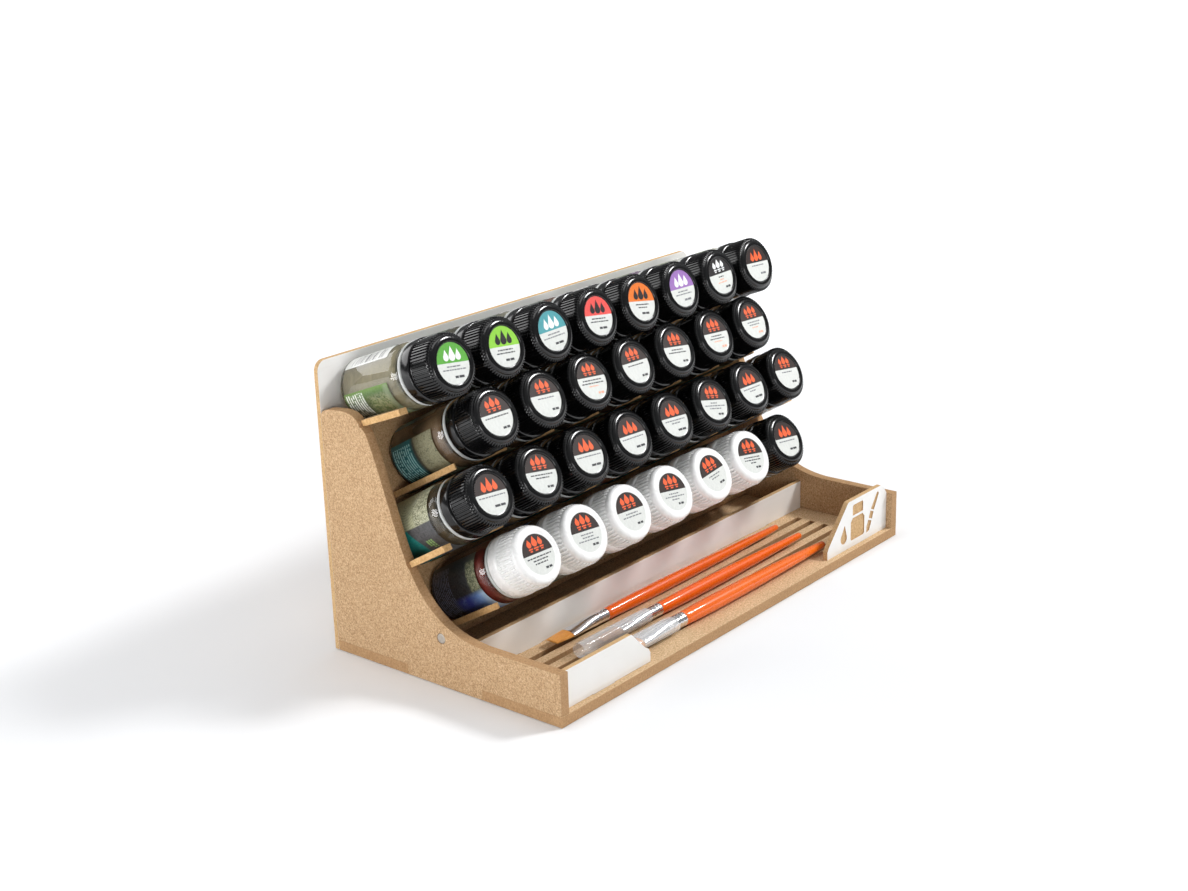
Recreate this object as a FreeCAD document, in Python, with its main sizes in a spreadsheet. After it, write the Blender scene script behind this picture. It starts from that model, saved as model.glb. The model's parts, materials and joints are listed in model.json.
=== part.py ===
import FreeCAD, Part
import Sketcher
import math
import os

# Bench-top rack for thirty paint jars with a brush tray along its front.
# Frame: X runs left to right along the shelves, Y from the front to the back,
# Z up.  The origin is the centre of the footprint, on the surface that the
# rack stands on.  Millimetres and degrees.

V = FreeCAD.Vector
doc = FreeCAD.newDocument("paint_rack")

# ---------------------------------------------------------------- dimensions
PARAMS = [
    # carcass
    ("width_all", 330.0), ("base_depth", 162.4), ("carcass_thk", 6.0),
    ("foot_front", 54.1), ("foot_back", 108.3), ("side_lip", 29.35),
    ("back_thk", 3.0), ("back_height", 166.3), ("back_corner", 6.0),
    # brush tray
    ("slot_len", 264.0), ("slot_wide", 4.0), ("slot_pitch", 10.0), ("slot_num", 5),
    ("slot_left", 43.3), ("slot_first", 15.7),
    ("plate_thk", 3.0), ("plate_front", 4.0), ("divider_front", 68.0), ("divider_top", 24.5),
    ("tab_wide", 18.0), ("tab_play", 0.1),
    # shelves
    ("shelf_thk", 3.5), ("jar_pitch", 39.54), ("shelf_drop", 14.0),
    ("tip_set", 24.5), ("scallop_rad", 18.5), ("slot_half", 11.95), ("slot_end", 74.5),
    ("short_half", 138.4), ("shelf_end_low", 78.0), ("shelf_end_top", 85.3),
    ("ear_end_top", 55.1), ("ear_end_third", 54.0), ("ear_inset", 2.2),
    # rows: centre of the cap face and the slope of the jar axis
    ("row_a_front", 4.7), ("row_a_up", 170.9), ("row_a_tilt", 20.8),
    ("row_b_front", -5.4), ("row_b_up", 139.65), ("row_b_tilt", 28.7),
    ("row_c_front", -17.6), ("row_c_up", 104.2), ("row_c_tilt", 30.0),
    ("row_d_front", -30.7), ("row_d_up", 67.3), ("row_d_tilt", 30.0),
    # sloping board behind the three lower rows: a point on its front face and its lean
    ("board_thk", 3.5), ("board_point_y", 42.04), ("board_point_z", 46.72), ("board_lean", 19.18),
    ("board_low", -41.8), ("board_high", 85.1), ("board_slot", 4.5),
    # magnets in the outer faces of the side panels
    ("magnet_dia", 5.8), ("magnet_deep", 3.0), ("magnet_y", -0.7), ("magnet_z", 27.7),
    # jar
    ("jar_long", 72.5), ("jar_rad", 18.1), ("jar_wall", 1.7), ("neck_rad", 14.6),
    ("bead_rad", 17.7), ("cap_rim", 15.6), ("cap_skirt", 17.4), ("cap_band", 17.8),
    ("cap_long", 22.0), ("cap_bore", 14.9), ("label_rad", 12.0), ("label_sink", 0.7),
    # clear sleeves of two brushes
    ("sleeve_wall", 0.35),
]
sheet = doc.addObject("Spreadsheet::Sheet", "Dimensions")
for row, (name, value) in enumerate(PARAMS, start=1):
    sheet.set("A%d" % row, name)
    sheet.set("B%d" % row, str(value))
    sheet.setAlias("B%d" % row, name)
doc.recompute()


def D(name):
    return float(getattr(sheet, name))


W2 = D("width_all") / 2.0
Y0 = -(D("base_depth") + D("back_thk")) / 2.0       # front face of the base plate
T6 = D("carcass_thk")
PIECES = []


# ------------------------------------------------------------------- helpers
def origin_item(body, role):
    for item in body.Origin.OriginFeatures:
        if item.Role == role:
            return item
    raise ValueError(role)


def new_body(label):
    body = doc.addObject("PartDesign::Body", label)
    body.Label = label
    return body


def new_sketch(body, plane, name, lift=None):
    sketch = body.newObject("Sketcher::SketchObject", name)
    sketch.AttachmentSupport = [(origin_item(body, plane), "")]
    sketch.MapMode = "FlatFace"
    if lift is not None:
        sketch.setExpression("AttachmentOffset.Base.z", lift)
    return sketch


def run_lines(sketch, points, close=True):
    """Straight edges through the points, closed, with their corners joined."""
    n = len(points)
    first = None
    last = None
    count = n if close else n - 1
    ids = []
    for i in range(count):
        a, b = points[i], points[(i + 1) % n]
        ids.append(sketch.addGeometry(Part.LineSegment(V(a[0], a[1], 0), V(b[0], b[1], 0)), False))
    for i in range(count - (0 if close else 1)):
        sketch.addConstraint(Sketcher.Constraint("Coincident", ids[i], 2, ids[(i + 1) % count], 1))
    return ids


def run_path(sketch, parts):
    """Lines, three-point arcs and smooth curves laid end to end."""
    for kind, pts in parts:
        p = [V(a[0], a[1], 0) for a in pts]
        if kind == "line":
            sketch.addGeometry(Part.LineSegment(p[0], p[1]), False)
        elif kind == "arc":
            sketch.addGeometry(Part.Arc(p[0], p[1], p[2]), False)
        else:
            curve = Part.BSplineCurve()
            curve.interpolate(p)
            sketch.addGeometry(curve, False)


def rect(x0, y0, x1, y1):
    return [(x0, y0), (x1, y0), (x1, y1), (x0, y1)]


def sized_rect(sketch, x0, y0, x1, y1, wide=None, high=None):
    """A rectangle whose width and height follow the sheet."""
    ids = run_lines(sketch, rect(x0, y0, x1, y1))
    sketch.addConstraint(Sketcher.Constraint("Horizontal", ids[0]))
    sketch.addConstraint(Sketcher.Constraint("Vertical", ids[1]))
    sketch.addConstraint(Sketcher.Constraint("Horizontal", ids[2]))
    sketch.addConstraint(Sketcher.Constraint("Vertical", ids[3]))
    if wide:
        k = sketch.addConstraint(Sketcher.Constraint("Distance", ids[0], abs(x1 - x0)))
        sketch.setExpression("Constraints[%d]" % k, wide)
    if high:
        k = sketch.addConstraint(Sketcher.Constraint("Distance", ids[1], abs(y1 - y0)))
        sketch.setExpression("Constraints[%d]" % k, high)
    return ids


def pad(body, sketch, length, name, flip=False):
    feature = body.newObject("PartDesign::Pad", name)
    feature.Profile = sketch
    feature.setExpression("Length", length)
    feature.Reversed = flip
    body.Tip = feature
    return feature


def pocket(body, sketch, name, length=None, flip=True):
    feature = body.newObject("PartDesign::Pocket", name)
    feature.Profile = sketch
    if length is None:
        feature.Type = 1                      # through all
    else:
        feature.setExpression("Length", length)
    feature.Reversed = flip
    body.Tip = feature
    return feature


def along(body, feature, name, length, count, role="X_Axis"):
    pattern = body.newObject("PartDesign::LinearPattern", name)
    pattern.Originals = [feature]
    pattern.Direction = (origin_item(body, role), [""])
    pattern.setExpression("Length", length)
    pattern.Occurrences = count
    body.Tip = pattern
    return pattern


def spin(body, sketch, name, axis="V_Axis"):
    feature = body.newObject("PartDesign::Revolution", name)
    feature.Profile = sketch
    feature.ReferenceAxis = (sketch, [axis])
    feature.Angle = 360.0
    body.Tip = feature
    return feature


def loft(body, first, second, name):
    feature = body.newObject("PartDesign::AdditiveLoft", name)
    feature.Profile = first
    feature.Sections = [second]
    body.Tip = feature
    return feature


def keep(obj, x=None, y=None, z=None, axis=None, angle=None):
    """Places a finished piece; each given coordinate is an expression or a number."""
    p = obj.Placement
    if axis is not None:
        p.Rotation = FreeCAD.Rotation(axis, 0.0 if isinstance(angle, str) else angle)
    obj.Placement = p
    for key, value in (("x", x), ("y", y), ("z", z)):
        if value is None:
            continue
        obj.setExpression("Placement.Base.%s" % key, str(value))
    PIECES.append(obj)
    return obj


S = "Dimensions."
FRONT = "-(%sbase_depth + %sback_thk) / 2" % (S, S)      # Y of the front face

# ------------------------------------------------------------- base plate
# Six millimetre board.  The middle third of each end is cut back by one board
# thickness to take the foot of a side panel.  Five long slots under the brush
# tray; short ones take the tabs of the divider and of the two front plates.
f0, f1 = D("foot_front"), D("foot_back")
depth = D("base_depth")
DIV_TABS = [-110.0, 0.0, 110.0]
LEFT_TABS = [-126.0]
RIGHT_TABS = [130.0]
base = new_body("base_plate")
sk = new_sketch(base, "XY_Plane", "base_outline")
run_lines(sk, [
    (-W2, 0), (W2, 0), (W2, f0), (W2 - T6, f0), (W2 - T6, f1), (W2, f1), (W2, depth),
    (-W2, depth), (-W2, f1), (-W2 + T6, f1), (-W2 + T6, f0), (-W2, f0)])
pad(base, sk, S + "carcass_thk", "base_board")
sk = new_sketch(base, "XY_Plane", "tray_slot_outline")
sx = D("slot_left") - W2
sized_rect(sk, sx, D("slot_first"), sx + D("slot_len"), D("slot_first") + D("slot_wide"),
           S + "slot_len", S + "slot_wide")
cut = pocket(base, sk, "tray_slot")
along(base, cut, "tray_slots", "%sslot_pitch * (%sslot_num - 1)" % (S, S), int(D("slot_num")), "Y_Axis")
tw, play = D("tab_wide") / 2.0, D("tab_play")
sk = new_sketch(base, "XY_Plane", "tab_holes_outline")
for xc in DIV_TABS:
    run_lines(sk, rect(xc - tw - play, D("divider_front") - play, xc + tw + play,
                       D("divider_front") + D("plate_thk") + play))
for xc in LEFT_TABS + RIGHT_TABS:
    run_lines(sk, rect(xc - tw - play, D("plate_front") - play, xc + tw + play,
                       D("plate_front") + D("plate_thk") + play))
pocket(base, sk, "tab_holes")
keep(base, y=FRONT)

# ------------------------------------------------------------- side panels
# The foot in the middle third reaches the ground through the base plate; the
# rest stands on the base plate's tabs.  The front edge sweeps up in one curve
# from the low lip beside the tray to the domed top.  Two open notches in that
# edge take the ears of the first and third shelves.
CURVE = [(129.0, 132.2), (124.9, 122.5), (119.4, 107.0), (113.7, 90.0), (108.2, 74.0),
         (102.0, 60.6), (94.2, 48.9), (84.2, 39.5), (73.6, 33.7), (62.4, 30.5), (50.0, 29.35)]
DOME = [(152.5, 141.2), (146.0, 141.8), (140.8, 141.3), (137.2, 139.9), (134.6, 137.6)]


def row_frame(tag):
    t = math.radians(D("row_%s_tilt" % tag))
    c = (D("row_%s_front" % tag), D("row_%s_up" % tag))
    along_dir = (math.cos(t), -math.sin(t))
    up_dir = (math.sin(t), math.cos(t))
    return c, along_dir, up_dir


def row_point(tag, s, w):
    """(Y, Z) of a point s behind the cap face and w above the axis of a row."""
    c, a, n = row_frame(tag)
    return (c[0] + s * a[0] + w * n[0], c[1] + s * a[1] + w * n[1])


def notch(tag, s0, s1):
    top = -D("shelf_drop") + 0.1
    low = -D("shelf_drop") - D("shelf_thk") - 0.1
    return [row_point(tag, s0, low), row_point(tag, s1, low), row_point(tag, s1, top), row_point(tag, s0, top)]


for side, sign in (("left", -1), ("right", 1)):
    panel = new_body("side_panel_" + side)
    sk = new_sketch(panel, "YZ_Plane", "side_outline_" + side)

    def yy(p):
        return (p[0] + Y0, p[1])

    lip = D("side_lip")
    pts = [yy((0, lip)), yy((0, T6)), yy((f0, T6)), yy((f0, 0)), yy((f1, 0)), yy((f1, T6)),
           yy((depth, T6)), yy((depth, 137.6))]
    segs = []
    for a, b in zip(pts[:-1], pts[1:]):
        segs.append(("line", [a, b]))
    segs.append(("curve", [yy((depth, 137.6)), yy((159.5, 139.9))] + [yy(p) for p in DOME]))
    segs.append(("line", [yy(DOME[-1]), yy(CURVE[0])]))
    segs.append(("curve", [yy(p) for p in CURVE[:-1]] + [yy((50.0, lip))]))
    segs.append(("line", [yy((50.0, lip)), yy((0, lip))]))
    run_path(sk, segs)
    pad(panel, sk, S + "carcass_thk", "side_board_" + side)
    sk = new_sketch(panel, "YZ_Plane", "ear_notches_outline_" + side)
    run_lines(sk, notch("a", 40.0, D("ear_end_top") + 0.1))
    run_lines(sk, notch("c", 44.0, D("ear_end_third") + 0.1))
    pocket(panel, sk, "ear_notches_" + side)
    # blind hole for the magnet, in the outer face
    if sign < 0:
        sk = new_sketch(panel, "YZ_Plane", "magnet_seat_outline_" + side)
        flip = True
    else:
        sk = new_sketch(panel, "YZ_Plane", "magnet_seat_outline_" + side, lift=S + "carcass_thk")
        flip = False
    g = sk.addGeometry(Part.Circle(V(D("magnet_y"), D("magnet_z"), 0), V(0, 0, 1), D("magnet_dia") / 2 + 0.05), False)
    k = sk.addConstraint(Sketcher.Constraint("Diameter", g, D("magnet_dia") + 0.1))
    sk.setExpression("Constraints[%d]" % k, S + "magnet_dia + 0.1")
    pocket(panel, sk, "magnet_seat_" + side, S + "magnet_deep", flip)
    keep(panel, x=("-%swidth_all / 2" % S) if sign < 0 else ("%swidth_all / 2 - %scarcass_thk" % (S, S)))

    magnet = doc.addObject("Part::Cylinder", "magnet_" + side)
    magnet.Label = "magnet_" + side
    magnet.setExpression("Radius", S + "magnet_dia / 2")
    magnet.setExpression("Height", S + "magnet_deep")
    keep(magnet, x=("-%swidth_all / 2" % S) if sign < 0 else ("%swidth_all / 2 - %smagnet_deep" % (S, S)),
         y=S + "magnet_y", z=S + "magnet_z", axis=V(0, 1, 0), angle=90.0)

# -------------------------------------------------------------- back panel
# Thin sheet over the back edges of the base and side panels, with both top
# corners rounded.
back = new_body("back_panel")
sk = new_sketch(back, "XZ_Plane", "back_outline")
bh, br = D("back_height"), D("back_corner")
q = br * (1 - math.sqrt(0.5))
run_path(sk, [
    ("line", [(-W2, 0), (W2, 0)]), ("line", [(W2, 0), (W2, bh - br)]),
    ("arc", [(W2, bh - br), (W2 - q, bh - q), (W2 - br, bh)]),
    ("line", [(W2 - br, bh), (-W2 + br, bh)]),
    ("arc", [(-W2 + br, bh), (-W2 + q, bh - q), (-W2, bh - br)]),
    ("line", [(-W2, bh - br), (-W2, 0)])])
pad(back, sk, S + "back_thk", "back_sheet", flip=True)
keep(back, y="%sbase_depth / 2 - %sback_thk / 2" % (S, S))

# --------------------------------------------------- tray divider and plates
# Each stands on the base plate with its tabs down through it.
def tabbed(label, top_points, tabs, y_expr):
    """top_points run from the lower left to the lower right corner over the top."""
    body = new_body(label)
    sk = new_sketch(body, "XZ_Plane", label + "_outline")
    pts = list(top_points)
    low = []
    for xc in sorted(tabs, reverse=True):
        low += [(xc + tw, T6), (xc + tw, 0), (xc - tw, 0), (xc - tw, T6)]
    run_lines(sk, pts + low)
    pad(body, sk, S + "plate_thk", label + "_sheet", flip=True)
    keep(body, y=y_expr)
    return body


xi = W2 - T6 - 0.05
tabbed("tray_divider", [(-xi, T6), (-xi, D("divider_top")), (xi, D("divider_top")), (xi, T6)],
       DIV_TABS, FRONT + " + %sdivider_front" % S)
tabbed("front_plate_left",
       [(-xi, T6), (-xi, 27.6), (62.5 - W2, 27.6), (74.3 - W2, 15.9), (77.4 - W2, 13.9), (78.7 - W2, 11.4), (78.7 - W2, T6)],
       LEFT_TABS, FRONT + " + %splate_front" % S)
tabbed("front_plate_right",
       [(255.0 - W2, T6), (255.0 - W2, 11.2), (256.4 - W2, 13.4), (278.0 - W2, 36.0), (279.6 - W2, 36.4),
        (317.0 - W2, 36.4), (320.5 - W2, 34.0), (xi, 29.6), (xi, T6)],
       RIGHT_TABS, FRONT + " + %splate_front" % S)

# ------------------------------------------------------------------ shelves
# Each shelf slopes down towards the back.  Its front edge is a comb: one
# scallop and one long slot per jar, so that a jar lies in the slot on its side
# and the cap stands clear in the scallop.  In each shelf's own frame X runs
# along the rack, Y down the slope from the plane of the cap faces, and Z away
# from the shelf; the jar axes lie in the plane Z = 0.
SHELF_TABS = [-118.6, -39.54, 39.54, 118.6]
ROWS = {"a": 8, "b": 7, "c": 8, "d": 7}
NUMBER = {"a": 1, "b": 2, "c": 3, "d": 4}


def place_row(obj, tag, spin_deg):
    p = FreeCAD.Placement(V(0, D("row_%s_front" % tag), D("row_%s_up" % tag)), FreeCAD.Rotation(V(1, 0, 0), spin_deg))
    obj.Placement = p
    obj.setExpression("Placement.Base.y", S + "row_%s_front" % tag)
    obj.setExpression("Placement.Base.z", S + "row_%s_up" % tag)


for tag in "abcd":
    n = ROWS[tag]
    label = "shelf_row_%d" % NUMBER[tag]
    body = new_body(label)
    floor = "-(%sshelf_drop + %sshelf_thk)" % (S, S)
    sk = new_sketch(body, "XY_Plane", label + "_outline", lift=floor)
    s0 = D("tip_set")
    inner = W2 - T6 - 0.05
    ear = W2 - D("ear_inset")
    tabs = []
    if tag == "a":
        s1 = D("shelf_end_top")
        e = D("ear_end_top")
        pts = [(-ear, s0), (ear, s0), (ear, e), (inner, e), (inner, s1), (-inner, s1), (-inner, e), (-ear, e)]
    else:
        s1 = D("shelf_end_low")
        s2 = s1 + D("board_thk") + 0.9
        for xc in sorted(SHELF_TABS, reverse=True):
            tabs += [(xc + 8, s1), (xc + 8, s2), (xc - 8, s2), (xc - 8, s1)]
        if tag == "c":
            e = D("ear_end_third")
            pts = [(-ear, s0), (ear, s0), (ear, e), (inner, e), (inner, s1)] + tabs + [(-inner, s1), (-inner, e), (-ear, e)]
        else:
            hw = D("short_half")
            pts = [(-hw, s0), (hw, s0), (hw, s1)] + tabs + [(-hw, s1)]
    run_lines(sk, pts)
    pad(body, sk, S + "shelf_thk", label + "_board")
    # one comb gap: half-round scallop at the front, then the slot
    sk = new_sketch(body, "XY_Plane", label + "_gap_outline", lift=floor)
    x0 = -(n - 1) / 2.0 * D("jar_pitch")
    r, hwid, end = D("scallop_rad"), D("slot_half"), D("slot_end")
    sc = s0 + math.sqrt(r * r - hwid * hwid)
    m = math.sqrt(0.5)
    run_path(sk, [
        ("line", [(x0 - r, s0 - 3), (x0 + r, s0 - 3)]),
        ("line", [(x0 + r, s0 - 3), (x0 + r, s0)]),
        ("arc", [(x0 + r, s0), (x0 + r * math.cos(0.4), s0 + r * math.sin(0.4)), (x0 + hwid, sc)]),
        ("line", [(x0 + hwid, sc), (x0 + hwid, end)]),
        ("line", [(x0 + hwid, end), (x0 - hwid, end)]),
        ("line", [(x0 - hwid, end), (x0 - hwid, sc)]),
        ("arc", [(x0 - hwid, sc), (x0 - r * math.cos(0.4), s0 + r * math.sin(0.4)), (x0 - r, s0)]),
        ("line", [(x0 - r, s0), (x0 - r, s0 - 3)])])
    cut = pocket(body, sk, label + "_gap")
    along(body, cut, label + "_comb", "%sjar_pitch * %d" % (S, n - 1), n)
    place_row(body, tag, -D("row_%s_tilt" % tag))
    PIECES.append(body)

# ------------------------------------------------------------- sloping board
# Stands on the base plate between the side panels, leans back, and reaches the
# underside of the top shelf.  Tabs of the three lower shelves pass through it.
# Own frame: X along the rack, Y up the board, Z towards the front.
lean = math.radians(D("board_lean"))
bv = (math.sin(lean), math.cos(lean))           # up the board, in (Y, Z)
bn = (-math.cos(lean), math.sin(lean))          # out of its front face
bp = (D("board_point_y"), D("board_point_z"))
board = new_body("sloping_board")
sk = new_sketch(board, "XY_Plane", "board_outline", lift="-" + S + "board_thk")
sized_rect(sk, -inner, D("board_low"), inner, D("board_high"))
pad(board, sk, S + "board_thk", "board_sheet")
sk = new_sketch(board, "XY_Plane", "board_slots_outline", lift="-" + S + "board_thk")
for tag in "bcd":
    # middle of the tab where it crosses the middle of the board
    s = D("shelf_end_low")
    for _ in range(20):
        p = row_point(tag, s, -D("shelf_drop") - D("shelf_thk") / 2)
        gap = (p[0] - bp[0]) * bn[0] + (p[1] - bp[1]) * bn[1] + D("board_thk") / 2
        s += gap
    up = (p[0] - bp[0]) * bv[0] + (p[1] - bp[1]) * bv[1]
    half = D("board_slot") / 2
    for xc in SHELF_TABS:
        run_lines(sk, rect(xc - 8.15, up - half, xc + 8.15, up + half))
pocket(board, sk, "board_slots")
rot = FreeCAD.Rotation(V(1, 0, 0), V(0, bv[0], bv[1]), V(0, bn[0], bn[1]), "XYZ")
board.Placement = FreeCAD.Placement(V(0, bp[0], bp[1]), rot)
board.setExpression("Placement.Base.y", S + "board_point_y")
board.setExpression("Placement.Base.z", S + "board_point_z")
PIECES.append(board)

# ---------------------------------------------------------------------- jars
# Own frame: Z out along the axis, zero at the cap face; Y away from the shelf.
L, R, wall = D("jar_long"), D("jar_rad"), D("jar_wall")
neck, bead = D("neck_rad"), D("bead_rad")

glass = new_body("jar_glass_shape")
sk = new_sketch(glass, "XZ_Plane", "glass_profile")
ri = R - wall
nb = neck - 2.0
prof = [
    (0, -L), (R - 2.0, -L), (R, -L + 2.0), (R, -30.0), (R - 0.6, -28.2), (16.9, -26.6), (16.6, -25.6),
    (bead, -24.8), (bead, -22.9), (16.8, -22.4), (neck, -22.4), (neck, -3.2), (nb, -3.2), (nb, -24.0),
    (15.3, -28.4), (ri, -30.6), (ri, -L + 3.6), (ri - 1.6, -L + 2.0), (0, -L + 2.0)]
run_lines(sk, prof)
spin(glass, sk, "glass_turned")

paint = new_body("jar_paint_shape")
sk = new_sketch(paint, "XZ_Plane", "paint_profile")
g = 0.15
prof = [
    (0, -L + 2.0 + g), (ri - 1.6 - g, -L + 2.0 + g), (ri - g, -L + 3.6 + g), (ri - g, -30.6 - g),
    (15.3 - g, -28.4 - g), (nb - g, -24.0), (nb - g, -9.0), (0, -9.0)]
run_lines(sk, prof)
spin(paint, sk, "paint_fill")

cap = new_body("jar_cap_shape")
sk = new_sketch(cap, "XZ_Plane", "cap_profile")
rim, skirt, band = D("cap_rim"), D("cap_skirt"), D("cap_band")
lab, sink, bore, capl = D("label_rad"), D("label_sink"), D("cap_bore"), D("cap_long")
prof = [
    (0, -sink), (lab, -sink), (lab + 0.5, 0), (rim - 0.9, 0), (rim, -0.5), (skirt - 0.3, -2.2), (skirt, -3.0),
    (skirt, -15.0), (band, -15.4), (band, -capl + 0.3), (band - 0.3, -capl), (bore, -capl), (bore, -3.0), (0, -3.0)]
run_lines(sk, prof)
spin(cap, sk, "cap_turned")

for tag in "abcd":
    n = ROWS[tag]
    for i in range(n):
        label = "jar_%d_%d" % (NUMBER[tag], i + 1)
        solids = [glass, paint] if i == 0 else [glass, paint, cap]
        jar = doc.addObject("Part::Compound", label)
        jar.Label = label
        jar.Links = solids
        place_row(jar, tag, 90.0 - D("row_%s_tilt" % tag))
        jar.setExpression("Placement.Base.x", "%sjar_pitch * %.1f" % (S, i - (n - 1) / 2.0))
        PIECES.append(jar)
        if i == 0:
            lid = doc.addObject("Part::Compound", "cap_%d_1" % NUMBER[tag])
            lid.Label = "cap_%d_1" % NUMBER[tag]
            lid.Links = [cap]
            place_row(lid, tag, 90.0 - D("row_%s_tilt" % tag))
            lid.setExpression("Placement.Base.x", "%sjar_pitch * %.1f" % (S, i - (n - 1) / 2.0))
            PIECES.append(lid)

# ------------------------------------------------------------------- brushes
# Own frame: X along the brush from the tip of the bristles to the end of the
# handle, Y across, Z up.  Sizes in millimetres:
# tip to ferrule, ferrule length, handle length, half width and half thickness
# of the ferrule mouth, ferrule radius, widest handle radius, end radius; then
# where the clear sleeve starts, its length, half width and half thickness.
BRUSHES = {
    1: dict(hair=13.5, ferrule=33.0, handle=170.0, a=5.2, b=2.0, rf=3.5, rh=4.0, re=2.0, x=60.0, y=57.8, z=10.15, yaw=-0.8, sleeve=None),
    2: dict(hair=17.0, ferrule=36.0, handle=143.0, a=3.8, b=1.9, rf=3.6, rh=4.1, re=2.1, x=76.0, y=37.3, z=10.55, yaw=-0.8, sleeve=(-17.0, 59.0, 4.4, 4.4)),
    3: dict(hair=20.0, ferrule=39.0, handle=142.0, a=5.3, b=2.6, rf=4.2, rh=4.7, re=2.3, x=66.0, y=18.3, z=10.85, yaw=-1.15, sleeve=(-4.0, 54.0, 6.0, 4.3)),
}


def ring(sketch, a, b):
    if abs(a - b) < 1e-6:
        sketch.addGeometry(Part.Circle(V(0, 0, 0), V(0, 0, 1), a), False)
    else:
        big, small = max(a, b), min(a, b)
        e = Part.Ellipse(V(big if a > b else 0, 0 if a > b else big, 0), V(0, small, 0) if a > b else V(-small, 0, 0), V(0, 0, 0))
        sketch.addGeometry(e, False)


def brush_place(obj, k):
    b = BRUSHES[k]
    obj.Placement = FreeCAD.Placement(V(b["x"] - W2, b["y"] + Y0, b["z"]), FreeCAD.Rotation(V(0, 0, 1), b["yaw"]))
    PIECES.append(obj)


for k, b in BRUSHES.items():
    h0, h1 = b["hair"], b["hair"] + b["ferrule"]
    h2 = h1 + b["handle"]
    # bristles: a flat tuft that thins towards its tip
    tuft = new_body("brush_%d_bristles" % k)
    s_a = new_sketch(tuft, "YZ_Plane", "tuft_tip_%d" % k)
    ring(s_a, b["a"] * 0.86, 0.5)
    s_b = new_sketch(tuft, "YZ_Plane", "tuft_root_%d" % k)
    s_b.AttachmentOffset = FreeCAD.Placement(V(0, 0, h0), FreeCAD.Rotation())
    ring(s_b, b["a"] - 0.3, b["b"] - 0.3)
    loft(tuft, s_a, s_b, "tuft_%d" % k)
    brush_place(tuft, k)
    # ferrule: round at the handle, pressed flat at the mouth
    fer = new_body("brush_%d_ferrule" % k)
    s_a = new_sketch(fer, "YZ_Plane", "ferrule_mouth_%d" % k)
    s_a.AttachmentOffset = FreeCAD.Placement(V(0, 0, h0), FreeCAD.Rotation())
    ring(s_a, b["a"], b["b"])
    s_b = new_sketch(fer, "YZ_Plane", "ferrule_round_%d" % k)
    s_b.AttachmentOffset = FreeCAD.Placement(V(0, 0, h1), FreeCAD.Rotation())
    ring(s_b, b["rf"], b["rf"])
    loft(fer, s_a, s_b, "ferrule_%d" % k)
    brush_place(fer, k)
    # handle: swells behind the ferrule, then tapers to a rounded end
    han = new_body("brush_%d_handle" % k)
    sk = new_sketch(han, "XY_Plane", "handle_profile_%d" % k)
    hl = b["handle"]
    upper = [(h1, b["rf"]), (h1 + 0.10 * hl, b["rf"] + 0.75 * (b["rh"] - b["rf"])), (h1 + 0.22 * hl, b["rh"]),
             (h1 + 0.45 * hl, b["rh"] * 0.93), (h1 + 0.75 * hl, b["re"] + 0.45 * (b["rh"] - b["re"])), (h2 - b["re"], b["re"])]
    run_path(sk, [
        ("line", [(h1, 0), (h1, b["rf"])]),
        ("curve", upper),
        ("arc", [(h2 - b["re"], b["re"]), (h2 - b["re"] * (1 - math.sqrt(0.5)), b["re"] * math.sqrt(0.5)), (h2, 0)]),
        ("line", [(h2, 0), (h1, 0)])])
    spin(han, sk, "handle_%d" % k, "H_Axis")
    brush_place(han, k)
    if b["sleeve"]:
        # a clear tube, open at both ends, over the bristles and most of the ferrule
        start, length, ra, rb = b["sleeve"]
        tube = new_body("brush_%d_sleeve" % k)
        sk = new_sketch(tube, "YZ_Plane", "sleeve_ring_%d" % k)
        sk.AttachmentOffset = FreeCAD.Placement(V(0, 0, start), FreeCAD.Rotation())
        ring(sk, ra, rb)
        ring(sk, ra - D("sleeve_wall"), rb - D("sleeve_wall"))
        pad(tube, sk, "%.1f" % length, "sleeve_%d" % k)
        brush_place(tube, k)

doc.recompute()

# ------------------------------------------------------------------- checks
for obj in doc.Objects:
    for flag in ("Invalid", "Error"):
        if flag in obj.State:
            raise RuntimeError("%s is in state %s" % (obj.Label, obj.State))
    if "Touched" in obj.State:
        obj.purgeTouched()

# a comb or slot that missed its board would leave the volume unchanged
for body_name, first, last in (("base_plate", "base_board", "tab_holes"),
                               ("shelf_row_1", "shelf_row_1_board", "shelf_row_1_comb"),
                               ("shelf_row_4", "shelf_row_4_board", "shelf_row_4_comb"),
                               ("sloping_board", "board_sheet", "board_slots"),
                               ("side_panel_left", "side_board_left", "magnet_seat_left"),
                               ("side_panel_right", "side_board_right", "magnet_seat_right")):
    v0 = doc.getObject(first).Shape.Volume
    v1 = doc.getObject(last).Shape.Volume
    if not v1 < v0 - 1.0:
        raise RuntimeError("nothing was cut from " + body_name)
    print("%s: %.0f -> %.0f mm3" % (body_name, v0, v1))

os.makedirs("parts", exist_ok=True)
total = FreeCAD.BoundBox()
for obj in PIECES:
    shape = obj.Shape
    if shape.isNull() or not shape.isValid() or not shape.Solids:
        raise RuntimeError("bad shape: " + obj.Label)
    total.add(shape.BoundBox)
for obj in PIECES:
    obj.Shape.exportStep("parts/%s.step" % obj.Label)
print("%d pieces, box %.1f x %.1f x %.1f, low corner %.2f %.2f %.2f" % (
    len(PIECES), total.XLength, total.YLength, total.ZLength, total.XMin, total.YMin, total.ZMin))
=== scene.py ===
import json
import math
import random

import bpy
import bmesh
from mathutils import Matrix, Vector

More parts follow.
